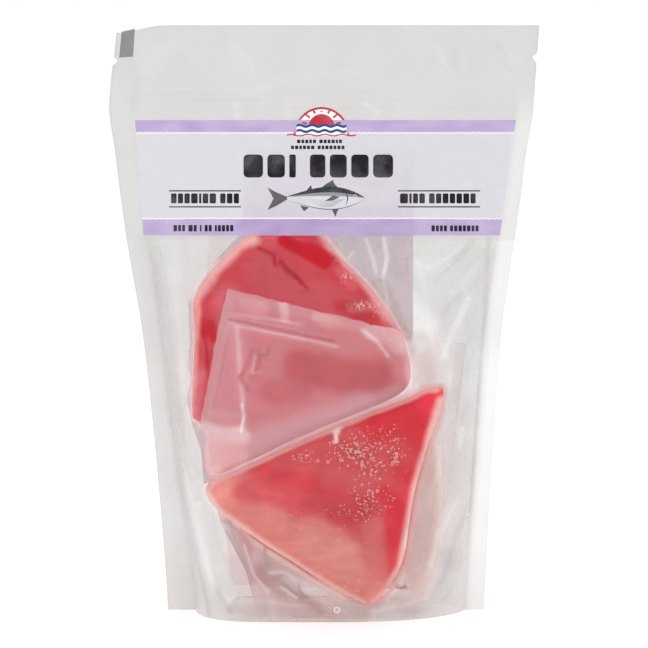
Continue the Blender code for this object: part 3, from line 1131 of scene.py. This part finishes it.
# %% Flesh of the rounded steak above it
UPPER_FLESH = linear("#c64550")
UPPER_MARKS = marks(
    (((244, 258), (224, 282), (206, 306)), 6, 16, "#cc3f4c", 0.8),
    (((250, 246), (290, 236)), 5, 10, "#d3505c", 0.8),
    (((300, 238), (336, 256), (356, 284)), 7, 14, "#cb3c49", 0.8),
    (((262, 270), (290, 290), (340, 306)), 8, 18, "#c85660", 0.7),
    (((283, 241), (300, 249), (316, 258), (325, 262)), 5.0, 3.2, "#c2041c", 0.98),
    (((308, 247), (330, 257)), 3.5, 3.2, "#c60c22", 0.95),
    (((256, 246), (260, 249), (267, 252), (273, 255), (275, 264)), 1.1, 1.3, "#ad1526", 0.9),
    (((281, 261), (287, 270), (295, 276), (302, 283), (309, 291)), 1.2, 1.4, "#ad1a2a", 0.9),
    (((203, 331), (213, 329), (215, 336)), 4.5, 4, "#bd1526", 0.92),
    (((205, 337), (207, 352), (207, 370)), 1.0, 1.8, "#b81f2f", 0.85),
    (((197, 316), (204, 321), (212, 322)), 1.2, 2.6, "#bd1f2f", 0.75),
    (((340, 306), (372, 318)), 4, 7, "#bb2634", 0.7),
    (((300, 366), (340, 376), (385, 380)), 10, 16, "#b32635", 0.8),
    (((272, 392), (300, 388)), 6, 12, "#b8303d", 0.6),
    (((228, 300), (236, 350), (222, 410)), 7, 14, "#cf6f79", 0.6),
    (((254, 320), (300, 330)), 6, 12, "#cb6670", 0.6),
    (((198, 372), (194, 414)), 3, 8, "#cf6f79", 0.85),
    (((380, 300), (390, 318)), 4, 8, "#dc9396", 0.7),
    (((352, 308), (372, 306)), 2.5, 5, "#d4727a", 0.6),
    (((340, 270), (352, 284)), 3, 5, "#d7606a", 0.7),
    (((332, 246), (344, 258)), 3, 6, "#dd7c82", 0.7),
    (((394, 330), (404, 372)), 5, 10, "#c96068", 0.6),
    (((260, 446), (330, 424), (396, 400)), 8, 13, "#bd7881", 0.85),
    (((204, 430), (222, 436), (240, 436)), 5, 9, "#e8c8c8", 0.95),
    (((212, 446), (214, 466)), 6, 10, "#e3b1b1", 0.9),
    (((228, 454), (238, 458)), 8, 10, "#dba5a7", 0.8),
)
UPPER_RIM_GLOW = marks(
    # Pale rims of painted light along the cut edge, where the rounded edge would lie in shade
    (((252, 240), (240, 245), (215, 269), (196, 297)), 0.8, 10.0, "#f4b9b4", 0.85),
    (((196, 297), (195, 340), (191, 412)), 0.5, 6.0, "#ee9d98", 0.85),
    (((322, 235), (341, 257), (372, 289), (399, 328), (409, 357), (411, 384)), 0.5, 8.0,
     "#ecaaa8", 0.85),
    (((205, 434), (206, 470), (220, 477)), 0.5, 7, "#e8cac9", 0.9),
)
finish_piece(
    build_steak(upper_outline, True, upper_gap,
                front_paint(UPPER_FLESH, UPPER_MARKS, UPPER_RIM_GLOW, (1.6, 3.0)), 110, 260, 7.0),
    "steak_front_upper", flesh)

# %% The two steaks behind
# Deep flesh, salmon, and the pale of painted light on the face towards the front
REAR_FLESH_AND_GLOW = (linear("#c9525a"), linear("#cf7470"), linear("#f4e8e2"))
BACK_FLESH = (linear("#c43f4c"), linear("#cf6460"), linear("#f0b9b0"))
# Blood lines and paler muscle on the faces that the back film shows, x and z
BACK_MARKS = marks(
    (((-34, 64), (-22, 60), (-8, 50)), 0.8, 1.2, "#a11c2b", 0.8),
    (((4, 38), (16, 33), (30, 36)), 0.7, 1.2, "#a8222f", 0.7),
    (((20, 82), (34, 72), (42, 56)), 4, 9, "#b92c3a", 0.7),
    (((-26, 22), (6, 18), (40, 28)), 5, 13, "#dc8a80", 0.7),
    (((-34, 150), (-22, 142), (-14, 128)), 0.8, 1.2, "#a11b2a", 0.8),
    (((-2, 156), (8, 146), (12, 132)), 3, 7, "#b72a38", 0.7),
    (((-42, 120), (-20, 112), (10, 112)), 4, 10, "#d98078", 0.6),
)
REAR_LOWER_EDGE_PX = ((238, 540), (246, 566), (256, 592), (272, 606), (300, 609), (345, 609),
                      (392, 605), (420, 592), (436, 560), (443, 500), (441, 452), (432, 424),
                      (414, 418), (380, 432), (330, 452), (280, 482), (248, 510))
REAR_DEPTH = 15.0           # how far behind the middle the rear steak's outline lies
REAR_FOOT = 7.0             # height of its lowest edge
rear_lower_outline = closed_curve([(x, max(z, REAR_FOOT)) for x, _, z in (
    at_depth(u, v, REAR_DEPTH) for u, v in REAR_LOWER_EDGE_PX)], 85)
rear_upper_outline = closed_curve(((-50, 108), (-6, 104), (28, 108), (34, 126), (20, 148),
                                   (-10, 170), (-36, 164), (-53, 138)), 72)


def rear_paint(place, lumps, inside, facing):
    """Flesh with a salmon cloud: red to a thin rim on the back, and on the front pale with painted
    light far in from its edge.
    """
    x, _, z = place
    cloud = smooth(0.5 + noise.noise(Vector((x / 26.0, z / 22.0, 4.0))))
    deep, salmon, pale = REAR_FLESH_AND_GLOW
    reach = 7.0 + 15.0 * smooth((x + 12.0) / 24.0)
    # Painted light: the face towards the front turns pale well in from its edge, where it lies in
    # shade between the steaks
    hidden = blend_to(blend_to(deep, salmon, cloud * 0.8), pale,
                      0.95 * smooth((reach + 4.0 * lumps - inside) / (0.7 * reach)))
    deep, salmon, rim = BACK_FLESH
    seen = painted(x, z, blend_to(deep, salmon, cloud * 0.7), BACK_MARKS, 1.5 * lumps)
    seen = blend_to(seen, rim, 0.9 * smooth((3.4 + 1.6 * lumps - inside) / 3.6))
    return blend_to(hidden, seen, smooth(0.5 + 1.2 * facing))


for name, outline, seed in (("steak_rear_lower", rear_lower_outline, 13.0),
                            ("steak_rear_upper", rear_upper_outline, 21.0)):
    finish_piece(build_steak(outline, False, plain_gap, rear_paint, 56, 150, seed), name, flesh)

# %% [markdown]
# ## The vacuum bags
#
# Each steak lies in a flat bag of thin film, drawn tight over the flesh and welded round it.
# Over the flesh the film is wet and clear, and beyond it the two layers cling together as a
# flat, slightly mauve flange that hides more of what is behind. A bag is two grids between the
# same left and right borders, one in front of the steak and one behind, welded at the edge.

# %% Bag builder
def along_line(points, share):
    """The place at a share of the way down a border, its points evenly shared out."""
    place = share * (len(points) - 1)
    start = min(int(place), len(points) - 2)
    return Vector(points[start]).lerp(Vector(points[start + 1]), place - start)


# Tone and veil beyond the flesh, marks and creases on them, how much painted shade and highlight a
# fold gets and how much it hides, where the film starts to cling to the flesh and over what width,
# and its veil there
Look = namedtuple("Look", "tone tones veil veils folds tint hide start soft clear")
CLING = 0.45                # how far before the flesh a bag's front sheet lies
BACK_ROOM = 1.4             # how far behind the flesh its back sheet lies
APART = 0.25                # between its two sheets beyond the flesh
CRUMPLE = 0.35
SEAL_ROOM, FAR_ROOM = 2.0, 0.8      # what it keeps free beside the pouch's seals and far film


def bag_paint(u, v, inside, look):
    """Tone and veil of a bag: its own beyond the flesh with painted shade and highlights on its
    folds, wet and clear over it.
    """
    hold = smooth((inside + look.start) / look.soft)
    tone, veil = folded(painted(u, v, look.tone, look.tones), valued(u, v, look.veil, look.veils),
                        relief(u, v, look.folds) * (1.0 - hold), look.tint, look.hide)
    return blend_to(tone, FLESH_LIGHT, hold), veil + (look.clear - veil) * hold


def build_bag(borders, outline, front, flange, gap, look, count, seed):
    """Two sheets between the borders: a tight front over the steak and a back round it."""
    mesh, tone, veil = film_mesh()
    for sheet in (0, 1):
        grid = bmesh.ops.create_grid(mesh, x_segments=count, y_segments=count, size=1.0)
        for vertex in grid["verts"]:
            across, down = (vertex.co.x + 1) / 2, (1 - vertex.co.y) / 2
            border = min(across, 1 - across, down, 1 - down)
            x, z = along_line(borders[0], down).lerp(along_line(borders[1], down), across)
            reach = station(z, 1) - seal_width(z, x) - SEAL_ROOM
            x = max(min(x, station(z, 3) + reach), station(z, 3) - reach)
            depth = film_depth(x - station(z, 3), z, front)
            inside = inside_by(x, z, outline)
            hold = smooth((inside + 3.0) / 5.0) * smooth(border / 0.02)
            crumple = noise.noise(Vector((x / 6.0, z / 7.0, seed)))
            flat = flange + CRUMPLE * crumple * smooth(border / 0.06)
            if sheet == 0:
                clear = flat + (gap(x, z) - CLING - flat) * hold
            else:
                full = gap(x, z) + min(THICK, depth - SPARE) + BACK_ROOM
                clear = flat + APART * smooth(border / 0.03)
                clear += (full - clear) * hold
            y = min(clear, depth * 2 - FAR_ROOM) - depth
            u, v = pixel_of(x, y, z)
            if front:
                y -= relief(u, v, look.folds) * (1.0 - 0.6 * hold)
            vertex.co = (x, y if front else -y, z)
            colour, cover = bag_paint(u, v, inside, look)
            vertex[tone] = (*colour, 1.0)
            vertex[veil] = cover
    bmesh.ops.remove_doubles(mesh, verts=mesh.verts, dist=0.01)
    bmesh.ops.recalc_face_normals(mesh, faces=mesh.faces)
    return mesh


# %% The front steak's bag
BAG_TONE = linear("#cba3a8")
LOWER_BAG_CREASES = creases(
    # The reclosing strip along the hem, two lines a few millimetres apart
    (((232, 314), (270, 319), (300, 324)), 0.45, 1.4),
    (((230, 318), (280, 328), (332, 339)), -0.5, 1.3),
    (((230, 323), (280, 334), (338, 346)), 0.55, 1.5),
    # The side weld and the pulled film beside it
    (((229, 328), (222, 366), (213, 408)), -0.5, 1.3),
    (((237, 328), (240, 370), (243, 404)), 0.5, 3.0),
    (((252, 349), (260, 352), (268, 357), (269, 349)), -0.7, 1.4),
    (((252, 349), (247, 362), (240, 378), (249, 388)), -0.7, 1.5),
    (((256, 356), (252, 372), (262, 372)), 0.5, 1.6),
    (((242, 404), (244, 416), (241, 432)), 0.8, 1.4),
    (((246, 402), (248, 430)), -0.5, 1.4),
    (((362, 330), (378, 342), (388, 356)), 0.6, 2.2),
    (((370, 326), (386, 340), (398, 352)), -0.5, 1.8),
    # Crumpled film below the steak
    (((229, 520), (238, 544), (246, 570)), -0.5, 2.0),
    (((244, 545), (254, 575), (268, 592)), 0.7, 2.0),
    (((266, 548), (265, 560), (270, 572)), -0.8, 1.2),
    (((274, 576), (290, 590), (306, 602), (322, 609)), -0.8, 1.6),
    (((272, 574), (284, 572), (300, 582)), 0.7, 1.3),
    (((299, 582), (300, 592), (307, 598)), -0.8, 1.0),
    (((286, 596), (300, 606), (314, 612)), 0.5, 1.6),
)
# Lines along the front steak's top, right and lower left edges, where the bag bends over them
STEAK_TOP_EDGE = ((204.5, 490.5), (216.5, 480), (250.5, 464), (291.5, 445), (336.5, 426), (375.5, 410),
        (408.5, 398), (426.5, 389), (441, 388))
STEAK_RIGHT_EDGE = ((445, 392), (433, 441), (419, 490), (413, 524), (406, 565), (389, 594), (375, 607))
STEAK_LEFT_EDGE = ((203.5, 492), (215, 512), (262, 546.8), (289, 563.8), (328, 589), (361, 606))
LOWER_BAG_TONES_AND_SHADE = marks(
    # Pale pink painted light along the steak's edges
    (STEAK_RIGHT_EDGE, 1.2, 3.5, "#dba39b", 0.9),
    (STEAK_LEFT_EDGE, 1.2, 5.0, "#e0bab2", 0.9),
    (STEAK_TOP_EDGE, 2.2, 4.5, "#dc8a8f", 0.9),
    # Lighter and darker marks on the welded hem
    (((246, 304), (262, 308)), 5, 6, "#e3c3c6", 0.8),
    (((283, 302), (285, 318)), 2.5, 4, "#f0dcdd", 0.9),
    (((318, 318), (334, 324)), 4, 5, "#ecd4d5", 0.8),
    (((236, 302), (236, 311)), 1.5, 3, "#c58a93", 0.5),
    (((270, 302), (272, 314)), 2.0, 4, "#c9949b", 0.5),
    # Painted shade in the groove and a painted highlight on the ridge of the reclosing strip
    (((230, 320), (280, 330), (334, 341)), 0.6, 2.0, "#a8626f", 0.75),
    (((232, 325), (285, 336), (338, 348)), 0.6, 2.4, "#e2c4c7", 0.6),
    # Paler film at the right end of the hem
    (((340, 322), (372, 328), (384, 338)), 6, 8, "#d9b3b3", 0.7),
    (((372, 332), (390, 334), (399, 346)), 5, 7, "#dbb8ba", 0.85),
    # Painted shade in the grooves and painted highlights on the ridges of the side weld and the
    # pulled film
    (((230, 330), (222, 366), (214, 406)), 0.5, 1.8, "#b3717d", 0.6),
    (((234, 334), (240, 380), (243, 404)), 4, 7, "#dcb4b9", 0.6),
    (((252, 350), (267, 357), (269, 349)), 0.7, 1.8, "#a35a68", 0.75),
    (((252, 350), (247, 364), (240, 379), (248, 389)), 1.2, 2.4, "#a9606c", 0.7),
    (((258, 360), (256, 374)), 2.0, 4.0, "#b86f79", 0.6),
    (((242, 404), (244, 416), (241, 432)), 0.8, 1.8, "#f0dcdb", 0.8),
    # Paler pink film at the left
    (((222, 450), (232, 462), (218, 474)), 10, 9, "#dda5a8", 0.9),
    # Painted shade in the grooves and painted highlights on the ridges of the crumpled film below
    # the steak, and painted shade along the foot
    (((229, 526), (240, 548), (248, 576)), 5, 8, "#985d65", 0.8),
    (((238, 532), (250, 548)), 2, 5, "#b3666f", 0.8),
    (((262, 572), (284, 590), (320, 606)), 5, 9, "#96595c", 0.85),
    (((276, 577), (290, 590), (304, 600)), 0.7, 1.8, "#843f4c", 0.85),
    (((265, 548), (266, 560), (270, 572)), 0.6, 1.8, "#93505b", 0.8),
    (((299, 583), (299.5, 592), (306, 598)), 1.0, 1.4, "#7a2f40", 0.85),
    (((270, 572), (284, 571), (298, 579)), 1.0, 2.0, "#f1e2df", 0.85),
    (((281, 587), (296, 598)), 0.7, 1.6, "#ead9d5", 0.7),
    (((304, 588), (316, 596), (330, 606)), 1.6, 3.0, "#dccac2", 0.7),
    (((222, 600), (262, 612)), 5, 7, "#b5a5a0", 0.6),
    (((350, 606), (380, 610), (396, 602)), 4, 6, "#b29a93", 0.7),
)
LOWER_BAG_VEILS = marks(
    # The welded hem and the reclosing strip hide more, the wet middle less
    (((228, 292), (280, 303), (340, 318), (400, 332)), 5, 7, 0.31, 0.8),
    (((226, 300), (214, 350), (204, 410)), 7, 8, 0.34, 0.8),
    (((300, 366), (340, 376), (376, 376)), 10, 16, 0.09, 0.9),
    (((272, 392), (300, 392)), 8, 10, 0.12, 0.7),
    (((372, 332), (390, 334), (399, 346)), 5, 7, 0.40, 0.85),
    (((418, 336), (446, 344)), 6, 14, 0.02, 0.9),
    (((215, 420), (236, 424)), 8, 8, 0.34, 0.7),
    (((222, 450), (232, 462), (218, 474)), 10, 9, 0.30, 0.9),
    (((246, 440), (300, 424), (360, 404)), 6, 12, 0.30, 0.8),
    (((238, 540), (256, 584), (300, 606)), 10, 10, 0.50, 0.9),
    (((300, 606), (360, 610), (400, 600)), 4, 8, 0.40, 0.8),
    (((440, 350), (448, 420), (440, 500), (428, 560)), 4, 14, 0.02, 0.9),
    (STEAK_TOP_EDGE, 2.2, 4.5, 0.56, 0.95),
    (STEAK_RIGHT_EDGE, 1.0, 3.5, 0.50, 0.95),
    (STEAK_LEFT_EDGE, 1.5, 4.0, 0.70, 0.95),
)
LOWER_LOOK = Look(BAG_TONE, LOWER_BAG_TONES_AND_SHADE, 0.20, LOWER_BAG_VEILS, LOWER_BAG_CREASES,
                  0.8, 0.34, 0.7, 2.4, 0.012)
finish_piece(build_bag((lower_bag_left, lower_bag_right), lower_outline, True, 2.0, plain_gap,
                       LOWER_LOOK, 140, 2.0), "bag_front_lower", bag_film, thin=True)

# %% The rounded steak's bag
UPPER_BAG_TONE = linear("#a37890")
UPPER_BAG_CREASES = creases(
    (((326, 236), (335, 250), (346, 260), (354, 252)), 0.8, 1.8),
    (((384, 238), (387, 258), (383, 280), (390, 318)), 0.8, 1.8),
    (((352, 238), (362, 262), (372, 286)), -0.6, 2.2),
    (((366, 240), (374, 262), (380, 292)), 0.5, 2.0),
    (((398, 240), (394, 262), (400, 300)), -0.5, 2.2),
    (((343, 240), (349, 247)), -0.6, 1.4),
)
UPPER_BAG_TONES_AND_SHADE = marks(
    # Painted highlights on the ridges and painted shade in the grooves of the film over the steak's
    # top, and painted shade beside its right edge
    (((326, 236), (335, 250), (346, 260), (354, 252)), 0.8, 2.2, "#ecdfe3", 0.9),
    (((384, 238), (387, 258), (383, 280), (390, 318)), 0.9, 2.4, "#e2d3da", 0.9),
    (((366, 240), (374, 262), (380, 292)), 0.8, 2.2, "#dccad4", 0.7),
    (((352, 238), (361, 262)), 1.5, 4.0, "#957790", 0.7),
    (((342, 240), (350, 247)), 1.2, 2.0, "#7f6379", 0.8),
    (((392, 244), (400, 300)), 3, 6, "#9c7a90", 0.5),
    (((350, 258), (374, 288)), 5, 8, "#93687f", 0.8),
    (((380, 284), (392, 306), (404, 334), (408, 352)), 4, 6, "#8f4b59", 0.9),
    # Paler pink film at the left and lower right
    (((200, 340), (190, 420)), 8, 10, "#c9a5aa", 0.7),
    (((380, 380), (400, 420)), 8, 20, "#c9a5a5", 0.8),
)
UPPER_BAG_VEILS = marks(
    (((188, 310), (186, 400)), 2, 4, 0.20, 0.6),
    (((214, 262), (187, 300)), 2, 6, 0.06, 0.9),
    (((414, 350), (416, 400), (404, 450)), 6, 16, 0.08, 0.9),
    (((243, 152), (416, 152)), 5, 16, 0.04, 0.9),
    (((243, 180), (416, 180)), 10, 30, 0.10, 0.8),
    (((380, 284), (392, 306), (404, 334)), 4, 6, 0.50, 0.8),
)
UPPER_LOOK = Look(UPPER_BAG_TONE, UPPER_BAG_TONES_AND_SHADE, 0.40, UPPER_BAG_VEILS, UPPER_BAG_CREASES,
                  0.5, 0.10, 1.5, 3.0, 0.012)
finish_piece(build_bag((upper_bag_left, upper_bag_right), upper_outline, True, 3.0, upper_gap,
                       UPPER_LOOK, 130, 5.0), "bag_front_upper", bag_film, thin=True)

# %% The rear bags
REAR_BAGS = (
    ("bag_rear_lower", ((-50, 100), (-52, 50), (-46, 7)), ((60, 100), (60, 50), (50, 7)),
     rear_lower_outline, 31.0),
    ("bag_rear_upper", ((-56, 190), (-60, 140), (-56, 98)), ((40, 190), (44, 140), (42, 98)),
     rear_upper_outline, 37.0),
)
REAR_LOOK = Look(BAG_TONE, (), 0.12, (), (), 0.0, 0.0, 2.0, 3.5, 0.02)
for name, left, right, outline, seed in REAR_BAGS:
    finish_piece(build_bag((left, right), outline, False, 2.4, plain_gap, REAR_LOOK, 64, seed),
                 name, bag_film, thin=True)

# %% [markdown]
# ## Bubbles under the film
#
# Air and ice crystals are caught between the flesh and its bag. They show as pale specks, in
# clusters, some of them large enough to be rings. Each speck is a tiny flattened ball of a few
# faces, and each ring a wire circle spun into a torus.

# %% Bubble material and builders
# Frosty trapped air, pale pink and half clear
trapped_air = mottled_material("trapped_air", 3.0, "#ea9f9a", "#f9e0da",
                               {"Roughness": 0.3, "Alpha": 0.9})
rng = random.Random(41)


def add_copies(mesh, pattern, places):
    """Copy a small pattern to each place: u, v, size in millimetres and depth behind the film."""
    for u, v, size, behind in places:
        copy = bmesh.ops.duplicate(mesh, geom=pattern)
        verts = [part for part in copy["geom"] if isinstance(part, bmesh.types.BMVert)]
        bmesh.ops.scale(mesh, verts=verts, vec=(size, size, size))
        bmesh.ops.translate(mesh, verts=verts, vec=on_film(u, v, behind))
    bmesh.ops.delete(mesh, geom=[part for part in pattern if isinstance(part, bmesh.types.BMVert)],
                     context="VERTS")


def build_specks(places):
    """Flattened balls of twenty faces at the places."""
    mesh = bmesh.new()
    made = bmesh.ops.create_icosphere(mesh, subdivisions=1, radius=1.0)
    bmesh.ops.scale(mesh, verts=made["verts"], vec=(1.0, 0.45, 1.0))
    add_copies(mesh, mesh.verts[:] + mesh.edges[:] + mesh.faces[:], places)
    return mesh


def build_rings(places, wire):
    """Small tori that face the front, each a square wire spun in ten steps."""
    mesh = bmesh.new()
    bmesh.ops.create_circle(mesh, segments=4, radius=wire,
                            matrix=Matrix.Translation((1.0 - wire, 0.0, 0.0)))
    bmesh.ops.spin(mesh, geom=mesh.verts[:] + mesh.edges[:], cent=(0, 0, 0), axis=(0, 1, 0),
                   dvec=(0, 0, 0), angle=2 * pi, steps=10, use_merge=True)
    bmesh.ops.recalc_face_normals(mesh, faces=mesh.faces)
    add_copies(mesh, mesh.verts[:] + mesh.edges[:] + mesh.faces[:], places)
    return mesh


def scattered(clusters, outline_px, inset, size_spread, behind):
    """Random places in clusters, kept within an outline."""
    places = []
    for u, v, wide, tall, count, size in clusters:
        for _ in range(count):
            spot = (rng.gauss(u, wide / 1.7), rng.gauss(v, tall / 1.7))
            scale = size * rng.uniform(*size_spread)
            if inside_by(*spot, outline_px) > inset:
                places.append((*spot, scale, behind))
    return places


# %% Specks and rings on the two front steaks
# Centre, spread across and down, how many, and size in millimetres
LOWER_SPECKS = (
    (367, 452, 27, 15, 110, 0.26), (350, 447, 16, 10, 36, 0.28), (394, 455, 12, 17, 40, 0.26),
    (372, 470, 18, 10, 30, 0.28), (366, 500, 15, 16, 54, 0.26), (352, 513, 20, 8, 28, 0.23),
    (306, 457, 18, 8, 38, 0.22), (370, 432, 26, 8, 26, 0.23), (350, 520, 60, 36, 40, 0.23),
    (350, 588, 22, 9, 20, 0.28), (290, 520, 44, 26, 16, 0.24), (390, 500, 6, 16, 14, 0.23),
)
LOWER_RINGS = (
    (366, 454, 20, 12, 22, 0.52), (352, 450, 12, 9, 8, 0.55), (370, 474, 12, 8, 7, 0.5),
    (366, 498, 10, 12, 9, 0.5), (394, 454, 6, 10, 6, 0.55),
)
NAMED_RINGS = ((318, 461, 0.7, 0.7), (328, 462, 0.75, 0.7), (341, 460, 0.9, 0.7),
               (377.5, 491, 0.8, 0.7), (393, 463, 0.85, 0.7))
finish_piece(build_specks(scattered(LOWER_SPECKS, LOWER_EDGE_PX, 8, (0.6, 1.4), 0.75)),
             "specks_front_lower", trapped_air)
finish_piece(build_rings(scattered(LOWER_RINGS, LOWER_EDGE_PX, 8, (0.75, 1.3), 0.75)
                         + list(NAMED_RINGS), 0.22),
             "bubbles_front_lower", trapped_air)

UPPER_SPECKS = (
    (348, 276, 8, 7, 34, 0.24), (363, 306, 13, 4, 54, 0.25), (340, 254, 7, 9, 26, 0.22),
    (332, 246, 12, 4, 18, 0.20), (378, 312, 7, 5, 18, 0.24), (264, 240, 7, 4, 12, 0.20),
)
finish_piece(build_specks(scattered(UPPER_SPECKS, UPPER_EDGE_PX, 3, (0.6, 1.4), 0.8)),
             "frost_front_upper", trapped_air)

# %% Drops of juice, and a small ring printed at the foot
meat_juice = mottled_material("meat_juice", 1.2, "#8c1f33", "#b8475a", {"Roughness": 0.15})
finish_piece(build_specks([(398, 587, 1.3, 1.4), (405, 587, 1.1, 1.4), (401.5, 588, 0.9, 1.4)]),
             "juice_drops", meat_juice)
print_piece("print_foot_ring", [
    (rounded_box(333.6, 606.6, 340.4, 613.4, 3.4), 1, PAPER, 0.6),
    (rounded_box(334.8, 607.8, 339.2, 612.2, 2.2), 2, linear("#bba39d"), 0.85)])

# %% [markdown]
# ## The floor, the light and the camera
#
# Product photos of clear packs are lit from all round, so that the film glows and nothing shows
# in it. A white world does that here, with one larger soft light from the upper left to model
# the forms, and a weaker one from the right.

# %% Floor
def build_floor():
    """A wide pale disc, just clear of the pouch's flat foot so that the two never flicker."""
    mesh = bmesh.new()
    bmesh.ops.create_circle(mesh, cap_ends=True, segments=96, radius=6.0)
    bmesh.ops.translate(mesh, verts=mesh.verts, vec=(0.0, 0.0, -0.2 * MM))
    data = bpy.data.meshes.new("floor")
    mesh.to_mesh(data)
    mesh.free()
    material, _, _ = new_material("matte_white_paint", {
        "Base Color": (*linear("#f7f7f7"), 1.0), "Roughness": 0.9, "Specular IOR Level": 0.1,
        "Emission Color": (1.0, 1.0, 1.0, 1.0), "Emission Strength": 0.17})
    data.materials.append(material)
    plate = add_object("floor", data)


build_floor()

# %% Lights and world
POUCH_MIDDLE = Vector((0.0, 0.0, 0.14))


def add_light(name, place, size, power):
    """A soft round lamp that faces the pouch's middle."""
    lamp = bpy.data.lights.new(name, "AREA")
    lamp.shape = "DISK"
    lamp.size = size
    lamp.energy = power
    holder = add_object(name, lamp)
    holder.location = place
    aim = POUCH_MIDDLE - Vector(place)
    holder.rotation_euler = aim.to_track_quat("-Z", "Y").to_euler()


add_light("key", (-0.9, -1.3, 1.1), 0.9, 3.5)
add_light("fill", (1.3, -0.9, 0.5), 1.0, 1.0)
add_light("rear", (0.5, 1.4, 1.0), 1.0, 2.0)

world = bpy.data.worlds.new("white_studio")
world.use_nodes = True
sky = world.node_tree.nodes["Background"]
sky.inputs["Color"].default_value = (1.0, 1.0, 1.0, 1.0)
sky.inputs["Strength"].default_value = 1.0
bpy.context.scene.world = world
bpy.context.scene.view_settings.view_transform = "Standard"
bpy.context.scene.cycles.transparent_max_bounces = 32

# %% Camera
SENSOR = 36.0               # width of the camera's sensor in millimetres
camera_data = bpy.data.cameras.new("camera")
camera_data.lens = SENSOR * FOCAL / (2 * HALF_FRAME)
camera = add_object("camera", camera_data)
camera.location = (0.0, EYE_Y * MM, EYE_Z * MM)
camera.rotation_euler = (radians(90.0) - RISE, 0.0, 0.0)
bpy.context.scene.camera = camera
